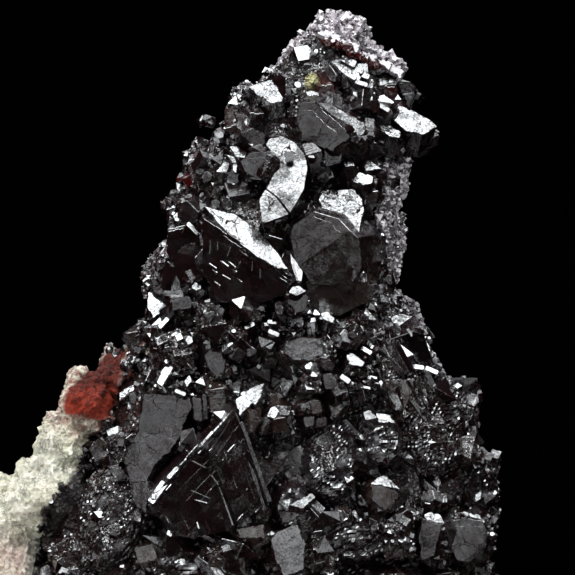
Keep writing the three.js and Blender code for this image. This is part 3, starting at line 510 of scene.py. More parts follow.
FACED = read_faces("""
# summit crystals
4 36 2 | 10.7 66.7, 11.8 67.4, 13.3 67.1, 14.5 64.6, 13.9 64, 12.2 65.4 | etched, deep 2.4, flare 6
0 38 2.2 | 14.2 64.7, 15.9 64.5, 15.8 63.5, 14.5 63.6 | etched
bar 2 34 2.3 | 12.3 66.9, 13.9 66.1, 0.8 | pale
bar 4 36 2.5 | 13.2 66, 14.7 65.3, 0.6 | pale
bar 2 34 2.7 | 13.9 65.3, 15.4 64.7, 0.6 | pale
bar 4 36 2.9 | 12.6 65.3, 13.9 64.5, 0.5 | pale
bar 2 34 3.1 | 13.4 64.4, 15.2 63.8, 0.5 | pale
bar 4 34 3.4 | 15.6 62.2, 17.6 61, 0.5 | pale
-4 30 3.2 | 8.3 63.1, 9.2 63.2, 9.9 62.9, 9.7 61.9, 8.6 61.9 | pale
6 36 2.8 | 13.2 63.8, 14 63.8, 15.7 62.9, 15.8 62.1, 14.8 62.1, 13.6 62.7 | etched, deep 3
0 40 1.6 | 16.4 65.2, 17.8 65.3, 18.6 64.3, 18.5 64, 16.4 63.9 | deep 3
18 14 0.6 | 18.4 64.5, 20.2 64.3, 20.9 63.3, 19 63
-25 12 1.8 | 10 67, 10.6 66.7, 11.8 65, 11.7 64.2, 11 64.4, 10.4 65.6 | deep 3
10 -6 2.2 | 10 63.8, 11.4 63.9, 11.8 62.8, 11 62.1, 10 62.6 | maroon
14 24 1.8 | 13.7 66.5, 15.2 66.3, 15.3 65.2, 14.4 65
8 -8 2 | 16.9 63.9, 18.4 63.7, 18.6 62.6, 17.2 62.4 | maroon
-6 32 3 | 2.1 63.7, 4 64.3, 5.9 65, 6.1 63.6, 5.8 62, 4.6 61.8, 3 62.8 | etched, deep 4
26 4 2.2 | 6.1 62, 6.2 64.6, 7 64.7, 7.1 62 | deep 3
# ledge crystals
7 34 4.8 | 17.3 62, 18.6 61.8, 20.4 61, 22 60.1, 22.9 59.3, 21.3 58.4, 19.4 58.8, 18.1 60 | etched,
deep 5, flare -4, on 19.4 59.8
16 -8 1 | 19.6 58.4, 21.6 58.4, 23.3 58.9, 23 57.3, 21 56.2, 19.8 56.6 | deep 5, flare 6, on 19 57.5
4 32 2.6 | 16 62.3, 17 62.9, 18.2 62, 17.4 61.3
-10 4 3 | 16 62, 17.6 61.6, 18 60.6, 17.4 59.9, 16.2 60.4
4 35 2.8 | 16.4 60, 17.4 59.7, 18.9 58.7, 18.7 58, 17.6 58.2, 16.5 59 | etched, deep 2.6
4 34 3.4 | 12.8 54, 13.8 54.6, 15.8 53.8, 15.7 53, 14.8 52.8, 13.6 53.2 | deep 3
0 38 3 | 14.4 55.4, 15 55.8, 16.8 54.6, 15 54.4 | deep 3
6 36 2.6 | 14.3 52.1, 16.5 52.8, 17 52.3, 16.7 51.8, 15 51.8 | deep 3
10 -10 2.2 | 13.6 57.4, 16 57.6, 17.2 56.2, 15.8 55.6, 13.8 56
# pyramid crystals
-10 3 4.4 | 7.8 61.9, 9.4 61.9, 12.8 58.8, 13.2 57.9, 11.3 56.5, 8 57.8, 7.4 60 | grey, deep 7, flare 26
27 21 4.1 | 9.4 62, 11 61.7, 15 59.6, 14.8 58.4, 13.3 57.8, 12.8 58.8 | streaked, deep 6, flare 10
8 20 2.8 | 14.9 60.3, 16 60.1, 15.9 58.2, 14.8 58.3
-6 24 4.2 | 8 57.3, 9.2 57.5, 10.2 56.5, 8.4 56
12 2 3.2 | 10.3 56.6, 12.4 56.8, 12.2 55.2, 10.6 54.8
# the crescent-shaped plate, as three convex parts of one plane
crescent | 4 57.2, 4.4 57.9, 5.8 58.2, 7.2 57.5, 8.3 56.2, 5.7 55.4, 4.8 56.3
crescent | 4.1 52.4, 5.7 55.6, 8.3 56.3, 8.6 54.6, 8.2 52.3, 7.4 50.9, 6.7 49.7, 5.3 51.5
crescent | 4 52.35, 5.2 51.4, 6.6 49.6, 4.2 48.7, 3.6 48.7, 3.3 51.2
-2 4 2.4 | 4.2 57.6, 8 57.4, 8.2 52, 6 50, 4 50.4 | clear, deep 4
# left shoulder crystals
10 -12 3 | 2.3 60.8, 3.9 60.7, 3.6 59.3, 2.2 59.5 | grey, flare 6
10 6 3 | 1.2 58.5, 2.6 59.1, 4 58.4, 3.9 57.3, 2.6 56.9 | grey
0 36 2.6 | 0 57, 0.8 57.2, 2 56.4, 1.7 55.8, 0.8 55.9
-12 8 4.6 | 1.2 55.4, 2.4 56.4, 4.6 56.5, 4.9 56, 3.6 54.1, 3 53.5, 1.8 54.2 | deep 4, flare 10
26 -12 4.6 | 4.7 56, 5.7 55.3, 5.5 54.3, 4.2 52.9, 3.4 53.4, 3.6 54.2 | deep 4, flare 10
-16 -6 1.4 | -4.4 54, -1.4 56.6, -0.6 53.2, -3.4 51.4 | crusted
-20 -4 1.8 | -5.3 53.6, -4.4 54, -3.7 53.2, -4.6 52.5 | red, deep 2
-10 8 1.4 | -5.6 50.8, -3.4 51, -3 48.8, -5.4 48.6 | flare 4
-8 -10 2.4 | -6.8 48, -4.6 48.5, -3.2 47, -3.2 44.6, -6 43.8, -6.9 45.5 | deep 5, flare 4
-12 12 3.2 | -3.4 47.8, -2.6 48.1, -2.3 46.4, -3.1 46.1
14 6 3 | -3.8 44.8, -2.7 46.1, -2.4 43.4, -3 42.4
-14 16 2 | -8.5 41.6, -7.3 42.2, -6.4 43.2, -4.6 40.9, -6 40.3, -8.2 41 | deep 4
0 12 2.6 | -6.3 40.2, -4.4 40.7, -4 40, -4.2 39.3, -6.2 39.1
-18 28 2.6 | -8.9 41.1, -6.9 40.2, -6.8 39.5, -8.4 38.2, -9.1 39.5 | deep 4
# a large dark crystal whose long top face shows as a bright blade
blade | -2.9 49.4, 2 46.1, 6.5 43, 6.4 41, 3 39.6, -1.4 40, -3 44 | lined, deep 8, flare 6
17 32 4.5 | -2.7 50.5, 0.7 49.6, 3.2 47.9, 5.4 45.3, 6.5 43.6, 5.2 43.7, 3 45, 0.3 47.1, -1.2 48.7 | pale,
deep 4, flare 4, on 2 47.2, steps 0.6
20 28 4.6 | 6.7 45.4, 8.1 43.3, 7.9 42.2, 7.4 42.3, 6.8 44.2 | deep 3
# the largest crystal: a broad front with an etched bright top face
6 32 3.6 | 9.8 51.2, 10.2 52.3, 13.7 52.4, 14.6 51.3, 14.8 50, 14.1 46.9, 10.6 49.3 | etched, deep 5,
flare 4, on 12.4 49.8
-7 3 4.8 | 6.7 47.2, 7 48.4, 9.3 49.9, 12 49.1, 14 47, 14.2 44, 13 42, 9 42.2, 7.2 44.6 | dull, deep 8,
flare 16, on 10.6 46.6, second 0 -7 10.4 45.9
-7 3 4.86 | 7.1 47.2, 7.4 48.2, 9.2 49.4, 11 48.8, 12.3 47.5, 9.8 47.1 | dull, deep 0.5, flare 10,
on 10.6 46.6
30 -4 3.6 | 13.9 47.2, 15 48.4, 15.6 44, 14.2 43.4 | brown, deep 6
5 -22 2.4 | 8.4 42.2, 12 42.8, 15.2 42.3, 15.3 40, 12 38.4, 9 39 | brown, deep 6
# waist crystals
-6 5 4.8 | 6.5 41, 8.4 41.1, 8.7 40.4, 8.3 39.1, 7.3 38.8, 6.4 39.9 | grey, deep 4, flare 12
-6 8 3.4 | -2.7 34.2, -2.1 34.7, -0.9 34.5, -0.3 33.5, -0.5 32.4, -1.3 31.8, -2.2 32.8
3 12 3.4 | 6.2 35.6, 8 36.2, 10 36, 10.3 34.3, 8.8 33.6, 7 33.7, 6 34.5 | grey, deep 4
4 -20 3 | 7.8 33.6, 10.8 34, 11 32.3, 8.2 31.8 | crusted
8 -18 2.8 | -6.1 34.1, -3.9 34.5, -3.7 32.2, -5.8 31.7 | crusted
-12 34 3.3 | -7.9 31.2, -7.4 32.5, -5.9 34.4, -5.3 34.2, -6.4 32.2, -7.3 30.8
8 -14 2.6 | 1.2 40, 3.8 39.4, 3.6 37.8, 1 37.9 | crusted
-12 4 2.4 | -3.6 39.6, -0.8 39.8, -0.6 37.2, -3 36.8 | crusted
14 -8 2.6 | -0.6 36.6, 1.8 36.8, 2.6 34.4, 0.2 33.8 | crusted
-10 -4 2.6 | 11.8 37.2, 14.2 37.8, 14.6 35.6, 12 35.2 | crusted
18 -4 1.6 | 14.6 41.4, 17 41.6, 17.2 38.8, 15 38.6 | crusted
# right flank crystals
0 33 3 | 12.8 34.2, 13.4 34.5, 14.9 33.4, 14.5 32.9, 13.1 33.2
6 8 3.6 | 10 33.8, 11 34, 11.6 33.1, 11.2 32.5, 10.1 32.9
-4 6 3.6 | 10.2 32.1, 11.2 32.3, 11.8 31.4, 11.4 30.6, 10.5 30.5
10 14 3.4 | 11.2 30.5, 12.4 31.4, 13.1 30.2, 11.5 29.7
-6 -8 3.2 | 8 32, 10 32.2, 10.1 30.2, 8.2 29.9 | crusted
10 34 1.8 | 17.3 38.5, 19 38.7, 20.3 38.4, 20.2 37, 19.2 36.7, 18.2 37.5 | etched, deep 3
12 32 1.4 | 19.9 35.4, 21.7 35.8, 22.1 35, 21 34 | deep 3
24 8 1.4 | 22.5 30.5, 23.7 31.8, 24.2 30
6 30 2.8 | 16 27.9, 17.6 27.7, 18.2 26.8, 16.3 26.9
16 -6 2 | 16.6 33.6, 19 34, 19.4 31, 17 30.6 | crusted
14 2 2 | 18.6 30, 21.4 30.4, 21.8 27.4, 19 27 | crusted
20 -8 2.2 | 20.6 26.4, 23.8 26.8, 24 23.4, 21 23 | crusted
34 6 1.2 | 24.2 29.2, 26.2 28.4, 26.6 25.4, 24.6 25.2 | crusted
8 12 2.6 | 23.2 20, 24.5 20.7, 25.3 19.8, 24.3 18.2, 23.2 19
10 -12 2.2 | 21.8 18.6, 24 18.7, 23.9 17.4, 22 17.3 | crusted
30 -4 1.4 | 25.4 23.6, 27.6 23.2, 28 20.6, 25.8 20.8 | crusted
2 36 3 | 15.4 20.2, 16.2 20.9, 17.1 21.2, 17.8 20.5, 18.7 19.6, 17.4 19.9 | etched, deep 3
5 4 3.2 | 15.4 20.2, 17.4 19.9, 18.6 19.6, 18.4 18.7, 17 17.3, 15.6 18.5 | brown
2 40 2.8 | 21.3 16.8, 22 17.1, 23.1 16.8, 23.6 15.9, 23 15.4, 21.6 16 | etched, deep 3
-8 3 3.2 | 21.1 16.4, 23.3 15.7, 22.9 14.4, 22.4 12.3, 21 11.8, 20.7 14.2 | grey, deep 5
4 40 2.6 | 23.7 16.4, 24.5 17.2, 26 17, 27.4 16.7, 28.1 15.8, 25.6 15.9 | etched, deep 3
7 -1 3.2 | 23.7 16.1, 25.7 16.4, 27.8 16, 28.3 14.9, 28.2 13.2, 26.4 11.5, 25 11.7, 24.2 13.2 | grey,
deep 5, on 25.6 14
# the broad grey plate on the left, in two steps and a tail
-9 8 3.2 | -9.3 30, -6 29.8, -4.2 29.3, -4 28.6, -4.8 27, -5.5 25, -9.9 25.6, -9.8 27 | grey, deep 6,
flare 10, on -7 27
-11 10 3.4 | -9.9 25.9, -5.4 25.2, -6.5 23.6, -7.8 22.6, -9 20.4, -10.8 20.4, -11.4 22.8,
-10.7 24.4 | grey, deep 6, flare 10, on -8.4 23.6
-16 12 3.2 | -10.5 20.4, -9 20.6, -8.7 19.4, -9 17, -10 17.7, -10.7 19.4 | grey
-9 8 3.36 | -6.4 28.4, -5.8 29.1, -4.4 28.8, -4.3 27.9, -5.5 27.3, -6.3 27.7 | grey, deep 0.6, flare 6,
on -7 27
-24 -4 2 | -13.2 24.6, -11.4 25.4, -11.4 22.6, -13.4 21.8 | crusted
-18 2 2.2 | -15.6 20.4, -12.4 21.4, -11.6 18.4, -15 17.2 | crusted
-26 4 1.4 | -12.4 32.2, -10.2 33.4, -9.2 31.2, -11.4 29.6 | crusted
# the broad dark table low on the left, with a raised step and bright bevels
5 -8 4.6 | -8.6 18.4, -6.7 20.6, -1 26.5, 0.5 28.4, 1.6 26, 4.2 18.2, 4 16.8, 0.6 15.3, -4 14.3,
-6.5 14.8 | lined, deep 8, flare 3, on -1 20, steps 0.6
7 -7 5.1 | -2.2 23.8, 0.2 27.3, 3 20, 3.8 17.6, 0.9 15.9 | lined, flare 8, on 1 20
# foot crystals
arrow | 0.7 29.4, 1.5 29.9, 2.9 29.2, 1.9 28.4, 1.2 27.6, 0.9 28.6
arrow | 1.2 30.1, 2.5 30.7, 3.9 31.2, 3.5 29.7, 2.9 28.8, 1.6 29.5
18 10 4 | 2.1 28.3, 3.6 28.5, 3.5 27, 2.6 25.7 | brown
-13 7 3.4 | -4 29.7, -3 29.5, -2.9 27, -3.8 27.2 | grey
-8 2 3.2 | -2.9 29.9, -2.4 29.9, -2.3 27.3, -2.8 27.2 | grey
8 -6 3 | -2.3 30.5, -0.4 30.7, -0.1 28.2, -2 27.9 | brown
20 20 3.8 | 5.2 28.9, 6.9 28.7, 6.5 27.6, 5.4 27.8
6 -15 4 | 4.8 27.3, 6.2 27.5, 6.4 25.9, 5 25.7 | brown
10 6 3.4 | 9 29.4, 10 29.3, 10.2 28, 9.1 27.8 | brown
8 26 3.4 | 6.6 18, 9 19.3, 9.5 18.8, 8 17.5
3 17 3.8 | 4.6 14.2, 5.3 15.1, 7.5 15.9, 8.3 14, 8.2 11, 6 10.2, 5.1 12 | grey, deep 5
-4 16 4.4 | 0.8 15.4, 3.9 15.9, 3.9 14.4, 1.2 14.4 | brown
-10 12 3.2 | -10.3 13.3, -8.2 13.7, -7.7 12, -9.8 11.5 | brown
-22 -4 2.2 | -20 13, -16.4 14.6, -15 11, -18.4 9.4 | crusted
-14 8 2.8 | -14.2 15.6, -11.6 16.4, -10.8 13.8, -13.6 12.8 | crusted
4 -10 3.6 | -2.4 12.8, 1.4 13.4, 2.2 10, -1.6 9.2 | crusted
6 6 2.4 | 9.6 24.4, 12.8 25, 13.2 22, 10 21.4 | crusted
12 -6 3 | 9.8 14.8, 12 12.8, 11.2 10.2, 8.9 10.6 | crusted
6 -12 2.8 | 16.2 15.4, 19.4 15.8, 20 12.4, 17 11.8 | crusted
-12 -6 2.2 | -16.6 8.6, -12 9.6, -10.8 4.4, -15.4 3 | crusted
-4 6 2.4 | -8.4 9.4, -4 10, -3.4 5, -7.8 4.4 | crusted
5 -4 2.2 | 0.4 7.8, 4.6 8.6, 6 4, 1.4 2.6 | crusted
8 8 2.6 | 7.4 8.4, 12.4 9, 13.4 4.2, 8.6 3.4 | crusted
14 -6 2.2 | 15 9.6, 19.4 9.4, 20.4 5, 16.2 3.8 | crusted
26 4 1.6 | 22 9.4, 26 9, 26.2 4.6, 22.8 4 | crusted
# small faces and slim steps between the large crystals
0 34 3.2 | -4.9 31.4, -4.3 32.1, -4 31.4, -4.6 30.7
0 34 2.8 | -4.8 35.9, -4.5 36.4, -4 36.2, -3.9 35.6, -4.5 35.3
-30 24 2.8 | 1.6 59.8, 2.3 60.9, 2.3 59.6, 1.8 59.2
0 30 3.2 | 12.5 55.4, 13.5 55.5, 13.8 54.9, 12.7 54.8
12 28 2.4 | 16.6 58.6, 18 58.2, 17.8 57.3 | deep 3
-30 22 1.2 | -0.6 60.2, 0.1 61.5, 0.4 60.9, 0 60
bevel | -0.9 26.2, 0.1 27.7, 0.6 27.4, -0.4 26 | pale, out 6.2
-10 34 4.6 | -6.8 14.8, -6.2 16.2, -5.7 15.7, -6.2 14.5
-4 20 4.9 | 6 56.4, 6.9 56.5, 7.1 55.5, 6.2 55.2 | deep 1.8, flare -6, on 6 53.5
-8 22 3 | 3.2 36.3, 4.9 35.8, 3.5 35
0 36 5.1 | 6.5 41, 6.9 41.7, 7.7 41.8, 8.5 41.2, 7.4 40.7
-4 28 3 | 14.6 28, 15.4 28.3, 16.2 27.4, 14.9 27.1
-8 14 3.6 | 5 40, 5.6 40.2, 6 39.3, 5.8 38.6, 5.1 38.8
12 4 3 | 9.6 27.4, 10.7 27.5, 10.6 26.5, 9.5 26.3
0 34 3 | 10 38.8, 10.8 39, 11.6 38.2, 11.3 37.7, 10.2 38.2
-8 10 3.2 | 8.1 27.5, 9.4 27.6, 9.2 26.5, 8.3 26.4
-18 30 4 | 4.1 27.6, 4.6 28.6, 5.2 28.8, 5.5 28.1, 5 27.3 | etched, deep 3
-8 14 2.8 | -4.9 43.4, -4.1 43.7, -3.5 42.9, -4.1 41.9
-4 10 2.6 | -0.1 54.3, 1.1 54.2, 0.9 52.9, -0.3 53.5
bar 0 38 1.8 | 0.1 60.7, 1.8 60.8, 0.6
bar -18 34 3.4 | -0.6 59.2, 2.6 57.2, 0.28
-8 -12 3.2 | -0.6 59, 0.6 59.5, 3 57.9, 2.6 57.2 | brown
-14 26 2.9 | -0.3 56.2, 0.5 56, 0.9 55.2, 0.4 55.2 | dull
-20 24 2.9 | 0.4 55.2, 0.9 55.1, 0.8 54.1, 0.4 54.4 | dull
-12 27 2.4 | -1.5 54.3, -0.5 55.5, 0.1 55.2, -0.3 54.2 | dull
bar 16 36 2.6 | -4.6 48.7, -3.1 47.2, 0.5
bar -14 34 2 | -8.6 37, -7 38.6, 0.55
bar -14 34 2.4 | -7.7 37.2, -6.3 38.7, 0.5
bar 12 30 5 | 10.6 46.6, 14 44.1, 0.35 | brown
bar 0 36 3 | 8.4 38, 9.5 38.1, 0.5
bar 0 34 2.6 | 1.7 37.2, 2.8 37.7, 0.5
bar 0 36 2.8 | 4.2 37.9, 5.4 37.8, 0.45
bar 0 36 3 | 4.3 36.9, 5.5 36.4, 0.5
bar -10 34 3 | -7 33.4, -5.2 34.6, 0.5
bar 0 34 3.4 | -5.9 30.4, -4.7 29.9, 0.45
bar 6 34 2.6 | 14.4 35.1, 15.6 34.4, 0.5
bar 8 34 2.2 | 15 35.4, 16.2 34.9, 0.4
bar 0 38 3.4 | 12.2 32, 13.2 31.3, 0.6
bar 8 34 1.8 | 20 33, 21.4 32.8, 0.5
bar 12 34 1.2 | 21.6 32.8, 23 32.2, 0.5
bar 20 30 1.8 | 26.6 18, 28.6 19.4, 0.7
bar 28 6 4.8 | 0.75 27.9, 3.9 17.4, 0.45 | streaked, deep 4
bar 27 3 4.4 | 1.4 27, 4.5 18.3, 0.5 | streaked, deep 4
# edges and inner lines of the dark table
bar -22 32 table | -8.5 18.3, -6.9 20.5, 0.85 | pale
bar -22 32 table | -6.6 20.9, -5.5 22.1, 0.5 | pale
bar -22 32 table | -5.3 22.3, -4.2 23.5, 0.2 | etched
bar -22 32 table | -4.6 23.2, -3.3 24.6, 0.16 | etched
bar -22 32 table | -3.2 24.3, -1.7 26, 0.3 | etched
bar -22 32 table | -1.6 26, 0.2 28, 0.22 | etched
bar -22 30 table | -3.3 23.6, -1.2 25.8, 0.14 | grey
bar -22 30 table | -6.8 19.6, -5.4 21.2, 0.12 | grey
bar 6 18 table | -4.1 22.9, -2.4 22, 0.18 | grey
bar 6 18 table | -2.4 22, -1.1 20.2, 0.22 | grey
bar 6 18 table | -5 20, -2 18.7, 0.1 | grey
bar 4 30 table | -4.5 18.8, -2.3 18.2, 0.12 | grey
bar 20 10 table | -5.8 18.2, -4.2 15.2, 0.14 | grey
bar 20 10 table | -2.9 17.2, -2 15.1, 0.14 | grey
bar -22 32 table | -7.2 17.4, -6.4 16, 0.12 | etched
bar -22 32 table | -3.6 16.6, -3.2 15.4, 0.2 | etched
bar 6 18 step | -1.1 20.2, 0.5 15.8, 0.22 | grey
bar -22 32 step | -0.1 23.8, 1 25, 0.16 | etched
bar -22 32 step | 0.9 16.3, 1.8 17.3, 0.14 | etched
bar 18 12 step | 0.4 25.6, 2.9 18.6, 0.14 | grey
bar 6 18 step | 0 22.6, 0.9 19.8, 0.08 | grey
bar -22 32 step | 1.9 19.6, 2.6 20.4, 0.1 | etched
bar 6 18 step | -0.9 24.9, 0.1 22.4, 0.1 | grey
bar -22 32 step | 2.9 17.2, 3.7 18.2, 0.14 | etched
# short bright dashes on the blade's dark body
bar 10 33 blade | -0.9 44.6, 0 43.9, 0.17 | pale
bar 10 33 blade | -0.3 44.7, 0.8 43.8, 0.14 | pale
bar 10 33 blade | 0.4 43.7, 0.9 43.3, 0.18 | pale
bar 10 33 blade | -2.2 44.3, -1.3 43.7, 0.14 | pale
bar 10 33 blade | -1.8 43.6, -1.2 43.2, 0.16 | pale
bar 10 33 blade | -0.7 43, 0.2 42.5, 0.12 | grey
bar 10 33 blade | -1.6 42.3, -0.9 41.8, 0.14 | pale
bar 10 33 blade | 0.9 42.6, 1.5 42.2, 0.12 | grey
bar -30 6 blade | 2.6 45.2, 2.5 43.4, 0.12 | grey
bar -30 6 blade | 3.4 44.4, 3.4 42.6, 0.1 | grey
bar -30 6 blade | -2 47.4, -2.1 45.2, 0.12 | grey
bar 24 12 blade | -1.2 47, -1.2 45.6, 0.1 | grey
bar -30 6 blade | 0.2 46, -0.2 45, 0.1 | grey
bar 24 12 blade | 1.4 44.9, 1.2 44.1, 0.1 | grey
""") + [
    bar(
        (-7 + 0.1 * i, 34.3 + 0.6 * i), (-5.6 + 0.1 * i, 35.1 + 0.6 * i), 0.32,
        turn=-12, tilt=36, out=3.4 - 0.3 * i,
    )
    for i in range(4)
] + read_faces("""
bar 6 36 2.2 | 14.2 32.2, 16.2 31.7, 0.28
bar 6 26 2.5 | 14.6 31.4, 16.5 31.1, 0.2 | grey
bar 6 37 2.8 | 14.1 30.9, 15.5 30.6, 0.3 | etched
""")


def free(centre, size, habit, turn=0, tilt=0, spin=0, front=(1, 1, 1)):
    """A free crystal of cubic symmetry, as the solids have it: an unbevelled body in place."""
    return moved(habit_shape(*habit), turned(front, turn, tilt, spin), size, centre)


def common_crystals():
    """The crystals that cover the crust between the main ones, in the places that the solids give them."""
    chance = Chance(5150)
    habits = [(1, 0), (0, 1.1), (1, 0), (1, 0), (1.1, 1.1)]
    crystals = []
    z = 3.0
    while z < 68:
        left, right, front = level_at(z)
        half, depth = (right - left) / 2, seam_y(z) - front
        count = math.floor(math.pi * math.hypot(half, depth) / math.sqrt(2) / 7.2 + 0.5)
        for i in range(count + 1):
            angle = math.pi * (i + chance(-0.2, 0.2)) / count
            c = math.cos(angle)
            x = (left + right) / 2 + half * math.copysign(abs(c) ** (2 / SECTION_POWER), c)
            y = seam_y(z) - depth * abs(math.sin(angle)) ** (2 / SECTION_POWER)
            size = chance(1.1, 1.9) * (0.8 if i in (0, count) else 1) * (0.8 if z > 55 else 1)
            habit = habits[math.floor(chance(0, len(habits)))]
            centre = np.array((x, y, z + chance(-0.9, 0.9)))
            turn = 90 - math.degrees(angle) + chance(-35, 35)
            tilt, spin = chance(-35, 40), chance(0, 6.28)
            front = (1, 1, 1) if chance() < 0.5 else (1, 0, 0)
            crystals.append(free(centre, size, habit, turn, tilt, spin, front))
        z += 6.6
    return crystals


def terraces(facet):
    """Growth steps on a face: thin plates, each drawn in towards a corner of the one below."""
    if facet["look"] not in ("clear", "lined", "grey") or front_area(facet) < 1.5:
        return []
    corner = int(rng.integers(len(facet["corners"])))
    plates = []
    count = rng.integers(0, 2) if facet["look"] == "grey" else rng.integers(1, 4)
    for share in rng.uniform(0.7, 0.92) ** np.arange(1, 1 + count):
        corners = facet["corners"] + facet["normal"] * 0.045 * (len(plates) + 1)
        corners = corners[corner] + (corners - corners[corner]) * share
        plates.append(dict(facet, corners=corners, deep=0.3))
    return plates


BEVEL = 0.05
FLASH = facing(0, 32)  # the way that a face looks when it throws the top light forward
FLASH_WIDTH = math.cos(math.radians(17))

large = Gathered()
ground = []  # the bodies on which small crystals may grow, each with how many it takes

for facet in FACED:
    body = shape_of(facet)
    area = front_area(facet)
    edge = facet["corners"][1] - facet["corners"][0]
    large.add(bevelled(body, BEVEL) if facet["others"] else ragged(facet), facet["look"], edge)
    covered = facet["look"] == "crusted"
    ground.append((body, 0.9, 0.9) if covered else (body, 0.0 if area > 1 else 0.01, 0.12))
    for plate in terraces(facet):
        large.add(ragged(plate), facet["look"], edge)

for body in common_crystals() + [
    free(on_crust(12.3, 16.4, 1.6), 1.1, (1, 1.1), turn=-10, tilt=10),
    free(on_crust(14.3, 13.8, 1.6), 1.3, (1, 1), turn=12, tilt=14, spin=0.6),
]:
    flashes = (body.normals() @ FLASH).max() > FLASH_WIDTH
    plain = flashes or body.corners[:, 2].max() > 65
    look = "crusted" if plain else rng.choice(["clear", "grey", "brown", "crusted"])
    large.add(bevelled(body, 0.06), look)
    ground.append((body, 0.95, 0.95))

core = crust_shape()
large.add(core, "crusted")
ground.append((core, 1.0, 1.0))

SHEET_STEP = 0.22
TERRACE = 0.5  # how far the terraces of a crumpled patch stand one before the other


def crumpled(x, z, half_width, half_height, angle, lift, depth):
    """A patch of crumpled crust, as a closed sheet: terraced ridges along the angle, with scales that lean
    back on them. Its rim sinks under the crystals around it."""
    across = np.linspace(-1, 1, int(2 * half_width / SHEET_STEP))
    upward = np.linspace(-1, 1, int(2 * half_height / SHEET_STEP))
    ridges = np.array((math.cos(math.radians(angle)), math.sin(math.radians(angle))))
    over = np.array((-ridges[1], ridges[0]))
    climb = over * math.copysign(1, ridges[0]) + (0, 0.7)
    climb /= np.linalg.norm(climb)
    front, back = [], []
    for v in upward:
        for u in across:
            place = np.array((x + half_width * u, z + half_height * v))
            along, beside = place @ ridges, place @ over
            spot = Vector((0.16 * along, 0.42 * beside, 0.1 * x))
            spot += 0.5 * noise.noise_vector(1.3 * spot)
            height = 0.6 * (noise.ridged_multi_fractal(spot, 1.0, 2.1, 2, 1.0, 1.9) - 1)
            inner = min(1.0, max(0.0, 2.4 * (1 - math.hypot(u, v))))
            surface = crust_front(*place)
            y = (surface - (lift + depth * height) * inner + 1.2 * (1 - inner)) / TERRACE
            y = (math.floor(y) + max(0.0, y % 1 - 0.65) / 0.35) * TERRACE
            phase = 0.8 * (place @ climb) + 1.7 * noise.noise(Vector((*(0.5 * place), x)))
            lean = 0.08 + 0.55 * noise.noise(Vector((0.45 * along, 0.45 * beside, x + 9)))
            y += max(0.0, lean) * (phase % 1) + 0.2 * noise.noise(Vector((*(0.6 * place), 2.0)))
            front.append((place[0], y, place[1]))
            back.append((place[0], surface + 2.2, place[1]))
    count, wide = len(front), len(across)
    faces = []
    for row in range(len(upward) - 1):
        for column in range(wide - 1):
            a = row * wide + column
            faces += [(a, a + 1, a + wide + 1), (a, a + wide + 1, a + wide)]
            faces.append((a + count, a + wide + count, a + wide + 1 + count, a + 1 + count))
    rim = [row * wide for row in range(len(upward) - 1, 0, -1)] + list(range(wide))
    rim += [row * wide + wide - 1 for row in range(1, len(upward) - 1)]
    rim += range(count - 1, count - wide - 1, -1)
    for a, b in zip(rim, rim[1:] + rim[:1]):
        if a != b:
            faces.append((a, a + count, b + count, b))
    return Shape(front + back, faces)


# Crumpled patches: x, z, half width, half height, the ridges' angle, lift, depth, look, and the share of
# small crystals that still grow there.
CRUMPLED = [
    (-14.6, 15.8, 6.4, 7, 62, 2.6, 1.5, "crumpled", 0.08), (-12, 6.4, 8, 5, 30, 2.4, 1.5, "crumpled", 0.12),
    (-5.2, 11.2, 5.4, 3, 150, 3, 1.2, "crumpled", 0.1), (11.2, 22.4, 4, 6, 118, 2.4, 1.1, "flaky", 0.08),
    (7, 17.6, 2.8, 3.8, 70, 2.8, 1.1, "flaky", 0.04), (23, 25.6, 4.4, 6, 112, 2.2, 1.4, "crumpled", 0.12),
    (-11, 28.4, 2.2, 5.6, 72, 1.8, 0.9, "dull", 0.25), (15.3, 45.4, 1.4, 5, 84, 1.8, 1.0, "crumpled", 0.2),
    (1.6, 8, 6, 3.4, 20, 2.4, 1.4, "crumpled", 0.15), (16.8, 24.6, 3, 3.6, 4, 2.8, 1.2, "flaky", 0.1),
    (14, 13.8, 4.6, 3, 24, 3, 1.3, "flaky", 0.1), (18, 8, 8, 4, -20, 2.6, 1.4, "flaky", 0.12),
    (27.4, 19, 2.2, 4, 100, 1.8, 1.2, "flaky", 0.15), (18.6, 33, 2.6, 3.2, 20, 2, 1.1, "crumpled", 0.2),
]
for *form, look, share in CRUMPLED:
    body = crumpled(*form)
    large.add(body, look)
    ground.append((body, 1.0, 1.0))

# ---------------------------------------------------------------- small crystals, grown on the large ones


def distance_to(line, x, z, closed=False):
    line = np.array(line, float)
    ends = np.roll(line, -1, 0) if closed else line[1:]
    starts = line if closed else line[:-1]
    best = np.full(len(x), 1e9)
    for a, b in zip(starts, ends):
        share = np.clip(((x - a[0]) * (b - a)[0] + (z - a[1]) * (b - a)[1]) / ((b - a) @ (b - a)), 0, 1)
        best = np.minimum(best, np.hypot(x - a[0] - share * (b - a)[0], z - a[1] - share * (b - a)[1]))
    return best


def inside(polygon, x, z):
    hits = np.zeros(len(x), bool)
    for (ax, az), (bx, bz) in zip(polygon, polygon[1:] + polygon[:1]):
        if az == bz:
            continue
        crossing = ((az > z) != (bz > z)) & (x < (bx - ax) * (z - az) / (bz - az) + ax)
        hits ^= crossing
    return hits


def as_tree(bodies):
    points, faces, owners = [], [], []
    count = 0
    for owner, body in enumerate(bodies):
        points.append(body.corners)
        faces += [[i + count for i in face] for face in body.faces]
        owners += [(owner, place) for place in range(len(body.faces))]
        count += len(body.corners)
    return BVHTree.FromPolygons(np.concatenate(points).tolist(), faces), owners


